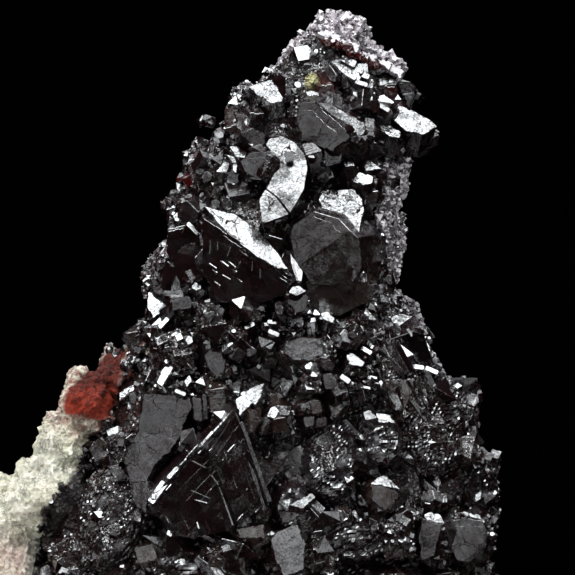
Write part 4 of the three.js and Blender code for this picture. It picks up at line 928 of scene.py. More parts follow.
def landings(tree, owners, takes, tries, spacing, turns=(-105, 105), tilts=(-25, 60)):
    """Places on the outside of the crust, no closer than the spacing: point and outward normal."""
    found, used = [], {}
    turn = rng.uniform(*turns, tries)
    tilt = rng.uniform(*tilts, tries)
    aim_z = rng.uniform(0, 70, tries)
    across = rng.random(tries)
    depth = rng.uniform(-13, 3, tries)
    luck = rng.random(tries)
    for i in range(tries):
        left, right, _ = level_at(aim_z[i])
        aim = Vector((left + (right - left) * across[i], depth[i], aim_z[i]))
        away = Vector(facing(turn[i], tilt[i]))
        point, normal, index, _ = tree.ray_cast(aim + away * 120, -away)
        if point is None:
            continue
        owner, face = owners[index]
        if luck[i] > takes[owner][0 if face == 0 else 1]:
            continue
        cell = tuple(int(c // spacing) for c in point)
        near = [used[key] for key in itertools.product(*[(c - 1, c, c + 1) for c in cell]) if key in used]
        if any((point - other).length < spacing for other in near):
            continue
        used[cell] = point
        found.append((point, normal))
    return np.array([p[:] for p, _ in found]), np.array([n[:] for _, n in found])


def random_rotations(count):
    axes = rng.normal(size=(count, 4))
    axes /= np.linalg.norm(axes, axis=1)[:, None]
    return np.array([np.array(Quaternion(axis).to_matrix()) for axis in axes])


def grown_together(points, share, jitter, block=3.2):
    """Rotations for crystals at the points: most take the lie of their block, nearly parallel."""
    keys = np.floor(points / block).astype(int)
    blocks, which = np.unique(keys, axis=0, return_inverse=True)
    shared = random_rotations(len(blocks))[which.ravel()]
    axes, angles = rng.normal(size=(len(points), 3)), rng.normal(0, math.radians(jitter), len(points))
    small = [Quaternion(Vector(axis), angle).to_matrix() for axis, angle in zip(axes, angles)]
    free_ones = random_rotations(len(points))
    parallel = rng.random(len(points)) < share
    return np.where(parallel[:, None, None], np.einsum("nij,njk->nik", np.array(small), shared), free_ones)


def off_the_faces(points, sizes):
    """Which small crystals leave the main front faces clean, seen from the front."""
    clean = np.ones(len(points), bool)
    for facet in FACED:
        if front_area(facet) > 0.7 and facet["look"] != "crusted":
            outline = facet["corners"][:, [0, 2]]
            x, z = points[:, 0], points[:, 2]
            outside = np.where(inside(outline.tolist(), x, z), -1, 1) * distance_to(outline, x, z, True)
            clean &= outside > 0.6 * sizes
    return clean


# Patches that sparkle: x, z, half width, half height, and how many crystals there catch the light.
FIELDS = [
    (17, 24, 3.4, 2.2, 0.5), (13.4, 16.4, 2.8, 1.5, 0.7), (16.5, 10.8, 4, 1.4, 0.6),
    (28.2, 17, 1.8, 2.6, 0.5), (21.5, 34.4, 1.8, 2.4, 0.6), (17, 31.4, 2.6, 2.4, 0.3),
    (-16, 14.2, 1.8, 1.6, 0.5), (-12.6, 30, 1.6, 4.6, 0.35), (15.3, 44.5, 0.9, 4.6, 0.5),
    (19.6, 39.5, 1.6, 1.6, 0.5),
    (-9, 37.2, 1.2, 2, 0.4), (12, 12.4, 2, 1.6, 0.3), (22.6, 26, 2.4, 3.4, 0.18), (2, 37.6, 3.4, 1.8, 0.25),
    (17.6, 62, 3, 2.4, 0.35), (-19, 10.4, 3, 1.6, 0.3),
]
# Patches of dull crystals: x, z, half width, half height.
MATTE = [
    (11.4, 21.6, 3.2, 4.8), (8, 34.8, 2.2, 1.4), (6.4, 22.4, 1.6, 3), (-11.6, 20, 1.6, 3),
    (6.2, 15.9, 2.2, 1.3), (7.6, 19, 2, 1.8),
]
# Patches of slender crystals that run one way: x, z, half width, half height, direction in x and z.
STREAKS = [
    (23, 25.5, 4.6, 6.4, 0.35, -1), (12, 21, 5.6, 6, -0.5, 1), (-4, 12.4, 6, 2.6, -0.8, 0.6),
    (19, 33, 3.4, 4.4, 0.45, -1), (15.4, 45, 1.6, 5, 0.1, 1), (-7.6, 42, 1.6, 6, 0.3, 1),
]


def within_patch(points, x, z, half_width, half_height, reach=1):
    """Which points lie in an upright oval patch, seen from the front."""
    return np.hypot((points[:, 0] - x) / half_width, (points[:, 2] - z) / half_height) < reach


def streaming(points, rotations, stretches):
    """In the streaky patches, makes most crystals slender and lays them along the patch's direction."""
    for *patch, dx, dz in STREAKS:
        within = within_patch(points, *patch) & (points[:, 1] < -4)
        for i in np.flatnonzero(within & (rng.random(len(points)) < 0.75)):
            along = Vector((dx, 0, dz)).normalized() + Vector(rng.normal(0, 0.16, 3))
            lay = Vector((0, 0, 1)).rotation_difference(along)
            rotations[i] = np.array((lay @ Quaternion((0, 0, 1), rng.uniform(0, 6.28))).to_matrix())
            stretches[i] *= (0.75, 0.75, rng.uniform(1.4, 2.5))
    return rotations, stretches


def glinting(points, rotations):
    """In the sparkling patches, turns crystals so that one face of each throws the top light forward."""
    for *patch, share in FIELDS:
        for i in np.flatnonzero(within_patch(points, *patch) & (rng.random(len(points)) < share)):
            front = (1, 1, 1) if rng.random() < 0.6 else (1, 0, 0)
            rotations[i] = turned(front, rng.uniform(-16, 16), rng.uniform(24, 41), rng.uniform(0, 6.28))
    return rotations


CAP_START, CAP_FALL = (11.6, 68.4), 0.52  # the lower edge of the summit's bare rock, and how it slopes
MALACHITE, MALACHITE_REACH = (9.1, 64.2), 1.1


def sprinkle(
    gathered, habits, points, normals, rotations, sizes, sink, looks,
    stacked=0.0, on_cap=False, clumped=False,
):
    """Adds small crystals, but none over the malachite grain nor, unless they may stand on_cap, over the
    bare rock of the summit. A share of them are stacked: parallel copies step back from the first.
    Clumped ones leave dark gaps between their clumps."""
    cap_edge = CAP_START[1] - CAP_FALL * (points[:, 0] - CAP_START[0])
    kept = off_the_faces(points, sizes) & (on_cap | (points[:, 2] < cap_edge))
    kept &= np.hypot(points[:, 0] - MALACHITE[0], points[:, 2] - MALACHITE[1]) > MALACHITE_REACH + sizes
    if clumped:
        kept &= np.array([noise.noise(Vector(point) * 0.5) for point in points]) > -0.04
    for *form, _, share in CRUMPLED:
        within = within_patch(points, *form[:4], 0.8) & (points[:, 1] < -2)
        kept &= ~within | (rng.random(len(points)) < share)
    if not kept.any():
        return
    points, normals, rotations, sizes = points[kept], normals[kept], rotations[kept], sizes[kept]
    kinds = rng.choice(len(habits), len(points), p=[share for _, share in habits])
    rows = np.array([(0.0,) + LOOKS[look] for look in rng.choice(looks, len(points))])
    for patch in MATTE:
        rows[within_patch(points, *patch) & (rng.random(len(points)) < 0.8)] = (0.0,) + LOOKS["matte"]
    stretches = rng.uniform(0.78, 1.3, (len(points), 3))
    rotations, stretches = streaming(points, rotations, stretches)
    rotations = glinting(points, rotations)
    centres = points - normals * (sizes * sink)[:, None]
    stacks = rng.random(len(points)) < stacked
    for step in range(4):
        along = np.einsum("nij,j->ni", rotations, (0.16, 0.1, 0.36)) * sizes[:, None] * step
        for kind, (shape, _) in enumerate(habits):
            chosen = (stacks | (step == 0)) & (kinds == kind)
            if chosen.any():
                gathered.add_copies(
                    shape, rotations[chosen], sizes[chosen] * (1 - 0.13 * step), stretches[chosen],
                    (centres + along)[chosen], rows[chosen],
                )


# The habits of the small crystals, each with the share that have it.
HABITS = [
    (habit_shape(1, 0), 0.3), (habit_shape(1, 1.15), 0.28), (habit_shape(1, 0.98), 0.14),
    (habit_shape(0, 1), 0.16), (habit_shape(1.1, 1.0), 0.12),
]
tree, owners = as_tree([body for body, *_ in ground])
takes = [shares for _, *shares in ground]

middling = Gathered()
points, normals = landings(tree, owners, takes, 36000, 1.3)
sizes = (0.42 + 0.7 * rng.random(len(points)) ** 2.2) * np.where(normals[:, 1] > -0.4, 0.65, 1)
sprinkle(
    middling, [(bevelled(shape, BEVEL), share) for shape, share in HABITS], points, normals,
    grown_together(points, 0.9, 4, 5.0), sizes, 0.45,
    ["clear", "clear", "clear", "grey", "lined", "streaked"], stacked=0.1,
)

fine = Gathered()
points, normals = landings(tree, owners, takes, 60000, 0.66)
sizes = 0.14 + 0.26 * rng.random(len(points)) ** 1.5
sprinkle(
    fine, HABITS, points, normals, grown_together(points, 0.8, 6, 3.0), sizes, 0.35,
    ["clear", "clear", "clear", "crusted", "lined", "brown"], clumped=True,
)


def beside(line, count, scatter, lift):
    """Random places along a line in x, z, scattered about it and lifted off the crust by up to `lift`."""
    line = np.array(line, float)
    lengths = np.linalg.norm(np.diff(line, axis=0), axis=1)
    run = rng.uniform(0, lengths.sum(), count)
    starts = np.concatenate([[0], np.cumsum(lengths)])
    x = np.interp(run, starts, line[:, 0]) + rng.normal(0, scatter, count)
    z = np.interp(run, starts, line[:, 1]) + rng.normal(0, scatter, count)
    y = np.array([crust_front(*place) for place in zip(x, z)]) - rng.uniform(-0.4, lift, count)
    return np.stack([x, y, z], 1), np.tile((0.0, -1.0, 0.0), (count, 1))


# Dark-red crystals in the crevice under the summit's ledge, and near the ledge's end.
for line, count, lift in (
    ([(10.6, 68.8), (12.9, 67.8), (14.4, 66.9), (16.3, 65.9)], 280, 2.7),
    ([(17.2, 66), (18.8, 64.8)], 20, 0.6),
    ([(-5.2, 53.4), (-3.9, 53)], 10, 0.3),
    ([(0.6, 61.6), (2.4, 61.8)], 8, 0.3),
):
    points, normals = beside(line, count, 0.2, lift)
    sprinkle(
        fine, HABITS, points, normals, random_rotations(count), rng.uniform(0.16, 0.36, count), 0.1, ["red"],
        on_cap=True,
    )

# ---------------------------------------------------------------- materials


class Nodes:
    """Short calls for building a node tree."""

    def __init__(self, name):
        self.material = bpy.data.materials.new(name)
        self.material.use_nodes = True
        self.tree = self.material.node_tree
        self.tree.nodes.clear()

    def add(self, kind, inputs=(), **settings):
        node = self.tree.nodes.new("ShaderNode" + kind)
        for key, value in settings.items():
            setattr(node, key, value)
        for key, value in dict(inputs).items():
            if isinstance(value, bpy.types.NodeSocket):
                self.tree.links.new(value, node.inputs[key])
            else:
                node.inputs[key].default_value = value
        return node

    def maths(self, operation, *values, clamp=False):
        return self.add("Math", enumerate(values), operation=operation, use_clamp=clamp).outputs[0]

    def times(self, *values):
        return self.maths("MULTIPLY", *values)

    def plus(self, *values):
        return self.maths("ADD", *values)

    def blend(self, share, a, b):
        return self.add("Mix", {"Factor": share, 6: a, 7: b}, data_type="RGBA").outputs[2]

    def noise(self, coordinates, scale, detail=3, roughness=0.5, **options):
        node = self.add("TexNoise", {
            "Vector": coordinates, "Scale": scale, "Detail": detail, "Roughness": roughness, **options,
        })
        return node.outputs["Fac"]

    def spread(self, value, low, high, to_low=0.0, to_high=1.0):
        return self.add("MapRange", {0: value, 1: low, 2: high, 3: to_low, 4: to_high}, clamp=True).outputs[0]

    def bump(self, height, distance, strength=1.0, normal=None):
        inputs = {"Height": height, "Distance": distance, "Strength": strength}
        if normal is not None:
            inputs["Normal"] = normal
        return self.add("Bump", inputs).outputs[0]

    def vector(self, operation, *values, scale=None):
        inputs = dict(enumerate(values))
        if scale is not None:
            inputs["Scale"] = scale
        return self.add("VectorMath", inputs, operation=operation).outputs[0]

    def millimetres(self):
        """Where a point lies in the piece's own frame."""
        return self.vector("SCALE", self.add("TexCoord").outputs["Object"], scale=1000.0)

    def bent(self, place, scale, reach):
        """The place, shifted by a coloured noise."""
        shift = self.add("TexNoise", {"Vector": place, "Scale": scale, "Detail": 3}).outputs["Color"]
        return self.vector("ADD", place, self.vector("SCALE", shift, scale=reach))

    def from_edge(self, place, scale):
        """How far a point lies from the edge of its irregular cell."""
        node = self.add("TexVoronoi", {"Vector": place, "Scale": scale}, feature="DISTANCE_TO_EDGE")
        return node.outputs["Distance"]

    def mosaic(self, normal, place, per_mm, lean, **settings):
        """Tips the normal by up to the lean, another way in each irregular cell."""
        cells = self.add("TexVoronoi", {"Vector": place, "Scale": per_mm}, **settings).outputs["Color"]
        away = self.vector("SCALE", self.vector("SUBTRACT", cells, (0.5, 0.5, 0.5)), scale=lean)
        return self.vector("NORMALIZE", self.vector("ADD", normal, away))

    def finish(self, **inputs):
        shader = self.add("BsdfPrincipled", {key.replace("_", " "): value for key, value in inputs.items()})
        out = self.add("OutputMaterial")
        self.tree.links.new(shader.outputs[0], out.inputs["Surface"])
        return self.material


def cuprite_material():
    """Nearly black with a red tint, brilliant, striated on some faces and etched on others."""
    n = Nodes("cuprite")
    surface = n.add("Attribute", attribute_name="surface")
    parts = n.add("SeparateColor", {0: surface.outputs["Color"]})
    tone, etch, warmth = parts.outputs
    lines = surface.outputs["Alpha"]
    place = n.millimetres()
    grain = n.add("UVMap", uv_map="grain").outputs[0]

    # Striations: long fine ridges of uneven width that come and go across a face.
    stretched = n.add("Mapping", {"Vector": grain, "Scale": (0.35, 6.0, 1.0)}).outputs[0]
    ridges = n.noise(stretched, 1.0, 2, 0.6)
    coarse = n.add("Mapping", {"Vector": grain, "Scale": (0.12, 1.6, 1.0)}).outputs[0]
    steps = n.noise(coarse, 1.0, 1, 0.5)
    patches = n.spread(n.noise(place, 0.35, 2), 0.42, 0.6)
    striated = n.maths("MINIMUM", lines, 1.0)
    ridge_height = n.times(n.plus(ridges, n.times(steps, 1.5)), striated)

    # Etching: pits and hillocks.
    pits = n.noise(place, 3.2, 4, 0.65)
    rough_patches = n.spread(n.noise(place, 0.9, 3, 0.6), 0.38, 0.62)
    etch_here = n.times(etch, n.plus(n.times(rough_patches, 0.7), 0.3))
    swell = n.noise(place, 0.55, 1)

    normal = n.bump(n.noise(place, 0.17, 2), 0.0003, 0.8)
    normal = n.bump(swell, 0.00005, 0.6, normal)
    normal = n.bump(ridge_height, 0.00003, 0.8, normal)
    normal = n.bump(n.times(pits, etch_here), 0.00008, 0.8, normal)

    # Faces grown in blocks: each block lies a little askew, and more so in the grains of an etched face.
    bent = n.bent(place, 0.9, 1.6)
    normal = n.mosaic(normal, bent, 0.5, n.plus(0.05, n.times(etch, 0.16)))
    oblong = n.add("Mapping", {"Vector": grain, "Scale": (0.5, 1.7, 1.0)}).outputs[0]
    normal = n.mosaic(normal, oblong, 1.0, n.times(striated, 0.06), distance="CHEBYCHEV")
    grainy = n.times(n.spread(etch, 0.8, 1.0), n.plus(rough_patches, 0.25))
    normal = n.mosaic(normal, place, 4.5, n.times(grainy, 0.8))
    normal = n.mosaic(normal, bent, 2.6, n.times(n.spread(etch, 0.1, 0.6), 0.07))

    # Pinpricks in the etched faces.
    pricks = n.add("TexVoronoi", {"Vector": bent, "Scale": 2.2}).outputs["Distance"]
    pricked = n.times(n.spread(pricks, 0.1, 0.16, 1.0, 0.0), n.spread(etch, 0.5, 0.75))

    # Crusted faces are a mass of tiny crystals.
    crusted = n.spread(lines, 1.0, 2.0)
    normal = n.mosaic(normal, bent, 1.7, n.times(crusted, 0.7))
    normal = n.mosaic(normal, bent, 6.0, n.times(crusted, 0.9))

    # A fine unevenness all over.
    normal = n.mosaic(normal, place, 6.5, n.plus(0.035, n.times(rough_patches, 0.06)))

    # Hairline cracks, here and there.
    crack = n.times(n.spread(n.from_edge(bent, 0.42), 0.008, 0.03, 1.0, 0.0), patches)
    crack = n.times(crack, n.spread(etch, 0.1, 0.4))

    # Tarnish: the faces throw back less light in spots, along cracks and where they are crusted.
    tarnish = n.spread(n.noise(place, 0.8, 5, 0.7), 0.36, 0.52, 0.6, 1.0)
    tarnish = n.times(tarnish, n.spread(n.noise(place, 5.5, 3, 0.7), 0.38, 0.45, 0.4, 1.0))
    spoilt = n.maths("MAXIMUM", crack, n.maths("MAXIMUM", pricked, n.times(crusted, 0.45)))
    tarnish = n.times(tarnish, n.maths("SUBTRACT", 1.0, n.times(spoilt, 0.95)))
    reflecting = n.blend(tarnish, (0, 0, 0, 1), (1, 1, 1, 1))

    matte = n.spread(etch, 0.95, 1.0)
    red = n.spread(n.noise(place, 0.6, 2), 0.35, 0.7)
    red = n.blend(red, (0.004, 0.002, 0.0025, 1), (0.009, 0.003, 0.0035, 1))
    brown = n.blend(tone, (0.014, 0.008, 0.007, 1), (0.034, 0.02, 0.015, 1))
    warm = n.spread(warmth, 0.05, 0.9)
    colour = n.blend(n.times(warm, n.spread(patches, 0, 1, 0.5, 1)), red, brown)
    colour = n.blend(n.spread(warmth, 0.9, 1.0), colour, (0.036, 0.0026, 0.0022, 1))
    colour = n.blend(matte, colour, n.blend(tone, (0.02, 0.018, 0.019, 1), (0.13, 0.12, 0.122, 1)))

    roughness = n.plus(n.spread(tone, 0, 1, 0.05, 0.15), n.times(etch_here, 0.14))
    roughness = n.plus(roughness, n.times(matte, 0.08))
    roughness = n.plus(roughness, n.times(patches, 0.05))
    roughness = n.plus(roughness, n.times(n.maths("MAXIMUM", crack, pricked), 0.6))
    return n.finish(
        Base_Color=colour, Roughness=roughness, Specular_Tint=reflecting, Normal=normal, IOR=2.85,
    )


def rock_material():
    """Host rock, painted by the zones that its mesh carries."""
    n = Nodes("host_rock")
    zones = n.add("Attribute", attribute_name="zones")
    parts = n.add("SeparateColor", {0: zones.outputs["Color"]})
    red, grain, pink = parts.outputs
    stained = zones.outputs["Alpha"]
    place = n.millimetres()
    stains = n.spread(n.noise(place, 0.25, 6, 0.66), 0.44, 0.58)
    specks = n.spread(n.noise(place, 3.0, 3, 0.7), 0.5, 0.62)
    # pits: a noise mask for dark spots, painted shade where light falls short in small pits of the rock
    pits = n.spread(n.noise(place, 1.1, 6, 0.75), 0.56, 0.66)
    veins = n.maths("ABSOLUTE", n.maths("SUBTRACT", n.noise(place, 0.42, 5, 0.6), 0.5))
    veins = n.spread(veins, 0.0, 0.014, 1.0, 0.0)
    cream = n.blend(stains, (0.98, 0.94, 0.79, 1), (0.8, 0.76, 0.57, 1))
    cream = n.blend(n.times(specks, 0.65), cream, (0.97, 0.96, 0.92, 1))
    # Painted shade: the cream is darkened in the pits, as if shadowed there
    cream = n.blend(n.times(pits, 0.5), cream, (0.3, 0.27, 0.2, 1))
    cream = n.blend(n.times(veins, 0.75), cream, (0.12, 0.1, 0.08, 1))
    rosy = n.blend(specks, (0.46, 0.3, 0.25, 1), (0.72, 0.58, 0.52, 1))
    mossy = n.times(n.spread(n.noise(place, 0.5, 5, 0.7), 0.5, 0.6), 0.45)
    cream = n.blend(mossy, cream, (0.46, 0.47, 0.37, 1))
    crazing = n.spread(n.from_edge(n.bent(place, 1.4, 1.1), 1.1), 0.0, 0.045, 1.0, 0.0)
    crazing = n.times(crazing, n.spread(n.noise(place, 0.6, 3), 0.46, 0.56))
    cream = n.blend(n.times(crazing, 0.6), cream, (0.15, 0.12, 0.09, 1))
    colour = n.blend(n.times(pink, n.spread(stains, 0, 1, 0.9, 0.5)), cream, rosy)
    _, depth_mm, height_mm = n.add("SeparateXYZ", {0: place}).outputs

    # The back, which the photograph doesn't show, is weathered: rusty stains and dark specks.
    behind = n.spread(depth_mm, 1.0, 5.0)
    rust = n.times(behind, n.spread(n.noise(place, 0.13, 6, 0.68), 0.5, 0.62))
    colour = n.blend(n.times(rust, 0.6), colour, (0.42, 0.27, 0.15, 1))
    pepper = n.times(behind, n.spread(n.noise(place, 1.3, 3, 0.6), 0.62, 0.66))
    colour = n.blend(n.times(pepper, 0.8), colour, (0.06, 0.05, 0.045, 1))

    silver = n.blend(specks, (0.1, 0.075, 0.08, 1), (0.6, 0.52, 0.53, 1))
    dark_rim = n.blend(specks, (0.02, 0.015, 0.015, 1), (0.12, 0.1, 0.1, 1))
    colour = n.blend(grain, colour, n.blend(n.spread(height_mm, 34, 42), dark_rim, silver))
    flecks = n.spread(n.noise(place, 1.9, 5, 0.7), 0.46, 0.58)
    darker = n.plus(height_mm, n.times(n.noise(place, 0.4, 3, 0.6), 5.0))
    darker = n.spread(darker, 31.0, 34.5)
    brick = n.blend(darker, (0.36, 0.03, 0.006, 1), (0.15, 0.018, 0.008, 1))
    flecks = n.times(flecks, n.spread(darker, 0, 1, 0.35, 0.95))
    brick = n.blend(flecks, brick, (0.05, 0.012, 0.009, 1))
    blotches = n.times(stained, n.spread(n.noise(place, 1.3, 6, 0.75), 0.45, 0.53))
    colour = n.blend(n.times(blotches, 0.8), colour, (0.26, 0.05, 0.028, 1))
    colour = n.blend(red, colour, brick)
    roughness = n.spread(grain, 0, 1, 0.9, 0.35)
    height = n.plus(n.noise(place, 1.7, 7, 0.72), n.times(n.noise(place, 6.0, 4, 0.7), 0.35))
    height = n.maths("SUBTRACT", height, n.times(n.maths("MAXIMUM", veins, crazing), 0.25))
    normal = n.bump(height, 0.0007, 1.0)
    return n.finish(Base_Color=colour, Roughness=roughness, Normal=normal, IOR=1.55)


def grain_material():
    """Sparkling grains of the rims: dark on the left, silvery on the right, a pinkish white at the top."""
    n = Nodes("rim_grains")
    surface = n.add("Attribute", attribute_name="surface")
    tone = n.add("SeparateColor", {0: surface.outputs["Color"]}).outputs[0]
    tone = n.maths("POWER", tone, 1.8)
    place = n.millimetres()
    patch = n.spread(n.noise(place, 0.75, 4, 0.6), 0.4, 0.52)
    spot = n.add("SeparateXYZ", {0: place})
    left = n.blend(tone, (0.012, 0.008, 0.009, 1), (0.17, 0.12, 0.13, 1))
    right = n.blend(n.maths("POWER", tone, 1.4), (0.01, 0.008, 0.009, 1), (0.95, 0.88, 0.92, 1))
    dim_cap = n.blend(tone, (0.02, 0.013, 0.016, 1), (0.3, 0.26, 0.28, 1))
    bright_cap = n.blend(tone, (0.2, 0.17, 0.19, 1), (1.0, 0.94, 0.98, 1))
    sides = n.blend(n.spread(spot.outputs[0], 7.0, 11.0), left, right)
    colour = n.blend(n.spread(spot.outputs[2], 63.5, 66.5), sides, n.blend(patch, dim_cap, bright_cap))
    return n.finish(
        Base_Color=colour, Roughness=n.spread(tone, 0, 1, 0.1, 0.3),
        Normal=n.bump(n.noise(place, 4.0, 3, 0.6), 0.0001, 0.7), IOR=2.0,
    )


def malachite_material():
    """Silky yellow-green bands."""
    n = Nodes("malachite")
    place = n.millimetres()
    bands = n.noise(n.add("Mapping", {"Vector": place, "Scale": (1.0, 1.0, 4.0)}).outputs[0], 1.4, 3, 0.6)
    colour = n.blend(n.spread(bands, 0.38, 0.62), (0.07, 0.062, 0.022, 1), (0.46, 0.43, 0.19, 1))
    normal = n.bump(n.noise(place, 5.0, 4, 0.6), 0.00015, 0.8)
    return n.finish(Base_Color=colour, Roughness=n.spread(bands, 0.3, 0.7, 0.3, 0.5), Normal=normal, IOR=1.7)


cuprite = cuprite_material()
host_rock = rock_material()
rim_grain = grain_material()
malachite = malachite_material()

main_crystals = large.object("cuprite_large_crystals", cuprite)
middling_crystals = middling.object("cuprite_small_crystals", cuprite)
fine_crystals = fine.object("cuprite_fine_crystals", cuprite)

# ---------------------------------------------------------------- the host rock

# Outlines in x, z: the red stain on the lobe, and the edge of the crust on the left.
RED_PATCH = [
    (-17.8, 30.6), (-16.2, 31.9), (-14.7, 33.2), (-13.2, 34.6), (-12, 36), (-10.8, 37.6), (-9.6, 37.4),
    (-10.4, 35.4), (-11.2, 34), (-11.6, 32), (-12, 30), (-12.2, 28.5), (-13, 27.3), (-14.5, 26.7),
    (-15.8, 26.9), (-16.8, 27.6), (-18, 28),
]
CRUST_EDGE = [
    (-20.4, 15), (-19.6, 17), (-17.2, 20), (-15, 24.5), (-13, 27), (-12.2, 30), (-11.4, 34.2),
    (-9.4, 38), (-8.2, 43), (-6.8, 50), (-3, 57), (2, 62), (7.4, 66.5),
]


def smooth(value, low, high):
    t = np.clip((value - low) / (high - low), 0, 1)
    return t * t * (3 - 2 * t)


def noise_at(points, scale, octaves=1, shift=0.0):
    offset = Vector((shift, shift * 1.7, -shift))
    return np.array([noise.fractal(Vector(p) * scale + offset, 1.0, 2.0, octaves) for p in points])


ROCK_VOXEL = 0.00035
KNOB_VOXEL = 0.00009


def remeshed_copy(name, source, voxel):
    mesh = source.data.copy()
    piece = bpy.data.objects.new(name, mesh)
    bpy.context.scene.collection.objects.link(piece)
    modifier = piece.modifiers.new("remesh", "REMESH")
    modifier.mode = "VOXEL"
    modifier.voxel_size = voxel
    modifier.adaptivity = 0.0
    evaluated = piece.evaluated_get(bpy.context.evaluated_depsgraph_get())
    piece.data = bpy.data.meshes.new_from_object(evaluated)
    piece.modifiers.clear()
    bpy.data.meshes.remove(mesh)
    piece.data.name = name
    return piece


def vertices_of(mesh, kind="co"):
    values = np.empty(len(mesh.vertices) * 3)
    if kind == "co":
        mesh.vertices.foreach_get("co", values)
    else:
        mesh.vertex_normals.foreach_get("vector", values)
    return values.reshape(-1, 3)


def host_rock_piece():
    """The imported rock, remeshed, broken up and painted by zones. Also gives its points and normals, and
    how far each point belongs to the dark rim and to the pale one."""
    piece = remeshed_copy("host_rock", bpy.data.objects["matrix_rock"], ROCK_VOXEL)
    mesh = piece.data
    points = vertices_of(mesh) / MM
    normals = vertices_of(mesh, "normal")
    table = points - SHIFT
    broad = noise_at(points, 0.16, 3, 3.0)
    blocks = np.array([
        noise.voronoi(Vector(p) * 0.42, distance_metric="DISTANCE", exponent=2.5)[0][1] for p in points
    ])
    chips = np.array([
        noise.voronoi(Vector(p) * 1.05 + Vector((3, 1, 7)), distance_metric="MANHATTAN", exponent=2.5)[0][0]
        for p in points
    ])
    crumbs = noise_at(points, 0.9, 5, 11.0)
    sugar = noise_at(points, 3.1, 2, 5.0)
    rise = -0.1 + 0.2 * sugar + 0.34 * broad + 0.4 * (blocks - 0.6) + 0.5 * crumbs - 0.34 * (chips - 0.5)
    keep = smooth(points[:, 2], 0.0, 1.2)
    points += normals * (rise * keep)[:, None]
    low, high = np.array(CAD_BOX) / MM
    points = np.clip(points, low + 0.001, high - 0.001)
    mesh.vertices.foreach_set("co", (points * MM).ravel())

    x, z = table[:, 0] + 0.5 * broad, table[:, 2] + 0.5 * crumbs
    ahead = smooth(-table[:, 1], -3.5, 0.5)
    from_patch = distance_to(RED_PATCH, x, z, True)
    red = smooth(np.where(inside(RED_PATCH, x, z), 1, -1) * from_patch, -0.2, 0.25) * ahead
    stained = smooth(-from_patch, -3.4, -0.4) * ahead * (1 - red)
    rim = smooth(-distance_to(CRUST_EDGE, x, z), -0.9, -0.3)
    covered = [(-21.3, 11)] + CRUST_EDGE[:7] + [(-6, 34.2), (-6, 0), (-20, 0)]
    rim = np.maximum(rim, inside(covered, x, z) * ahead)
    high_up = smooth(table[:, 2], 34, 37)
    right = smooth(table[:, 0] - np.interp(table[:, 2], CRUST_LEVELS[:, 0], CRUST_LEVELS[:, 2]), -3.5, -1.5)
    front = smooth(-table[:, 1], -10, -7)
    upper = np.maximum(high_up, right * smooth(table[:, 2], 8, 14)) * front
    grain = np.clip(np.maximum(rim, upper) * (1 - red), 0, 1)
    corner = smooth(-table[:, 0], 20.5, 23.5) * smooth(-table[:, 2], -16, -12)
    pink = np.clip(smooth(broad, 0.05, 0.5) * 0.35 + corner, 0, 1)
    layer = mesh.attributes.new("zones", "FLOAT_COLOR", "POINT")
    layer.data.foreach_set("color", np.stack([red, grain, pink, stained], 1).ravel())
    mesh.materials.clear()
    mesh.materials.append(host_rock)
    mesh.update()
    return piece, points - SHIFT, vertices_of(mesh, "normal"), rim * (1 - red), upper


rock, rock_points, rock_normals, dark_rim, pale_rim = host_rock_piece()


def spaced(points, spacing):
    """Picks points in random order so that each has its own cell of the given size."""
    order = rng.permutation(len(points))
    cells = np.floor(points[order] / spacing).astype(int)
    _, first = np.unique(cells, axis=0, return_index=True)
    return order[first]


def rim_crystals(gathered, weight, spacing, smallest, largest, looks):
    """Crusts the rims of the rock with small crystals, where the weight allows."""
    places = np.flatnonzero((rng.random(len(weight)) < weight) & (rock_normals[:, 1] < 0.55))
    places = places[spaced(rock_points[places], spacing)]
    sizes = rng.uniform(smallest, largest, len(places)) * rng.uniform(0.6, 1, len(places))
    sprinkle(
        gathered, HABITS, rock_points[places], rock_normals[places],
        grown_together(rock_points[places], 0.7, 8, 1.8), sizes, 0.4, looks, on_cap=True,
    )


on_left = smooth(-rock_points[:, 0], -8, -4) * smooth(-rock_points[:, 2], -66.5, -64)
pale = Gathered()
rim_crystals(pale, pale_rim * (0.95 - 0.65 * on_left), 0.47, 0.14, 0.36, ["clear"])
CAP_GRAINS = 420
crest = [(9.6, 70.6), (12, 69.6), (13.8, 68.9), (16.4, 67.5), (18.9, 66)]
points, normals = beside(crest, CAP_GRAINS, 0.25, 1.6)
sprinkle(
    pale, HABITS, points, normals, grown_together(points, 0.85, 6, 3.0),
    rng.uniform(0.16, 0.36, CAP_GRAINS), 0.5, ["clear"], on_cap=True,
)
for start, end, width in (
    ((9.8, 69.9), (12.2, 68.9), 0.8), ((11.9, 69), (14.2, 67.8), 0.9), ((13.9, 67.9), (16.2, 66.8), 0.8),
    ((15.8, 66.9), (17.8, 66), 0.9), ((17.4, 66.2), (19.1, 65), 1.0),
):
    pale.add(ragged(bar(start, end, width, deep=0.5, turn=2, tilt=30, out=2.1, steps=3)), "clear")
    pale.surfaces[-1][:, 0] = rng.uniform(0.15, 0.5)
pale_grains = pale.object("rim_pale_grains", rim_grain)

dark = Gathered()
rim_crystals(
    dark, np.maximum(dark_rim, pale_rim * on_left), 0.6, 0.18, 0.5,
    ["clear", "clear", "grey", "etched", "brown"],
)
dark_grains = dark.object("rim_dark_grains", cuprite)


def malachite_piece():
    """A silky knob of fine needles in place of the faceted grain."""
    piece = remeshed_copy("malachite_knob", bpy.data.objects["malachite_grain"], KNOB_VOXEL)
    mesh = piece.data
    points = vertices_of(mesh) / MM
    normals = vertices_of(mesh, "normal")
    points += normals * (-0.2 + 0.24 * noise_at(points, 1.5, 4))[:, None]
    mesh.vertices.foreach_set("co", (points * MM).ravel())
    mesh.materials.clear()
    mesh.materials.append(malachite)
    mesh.update()
    return piece


knob = malachite_piece()

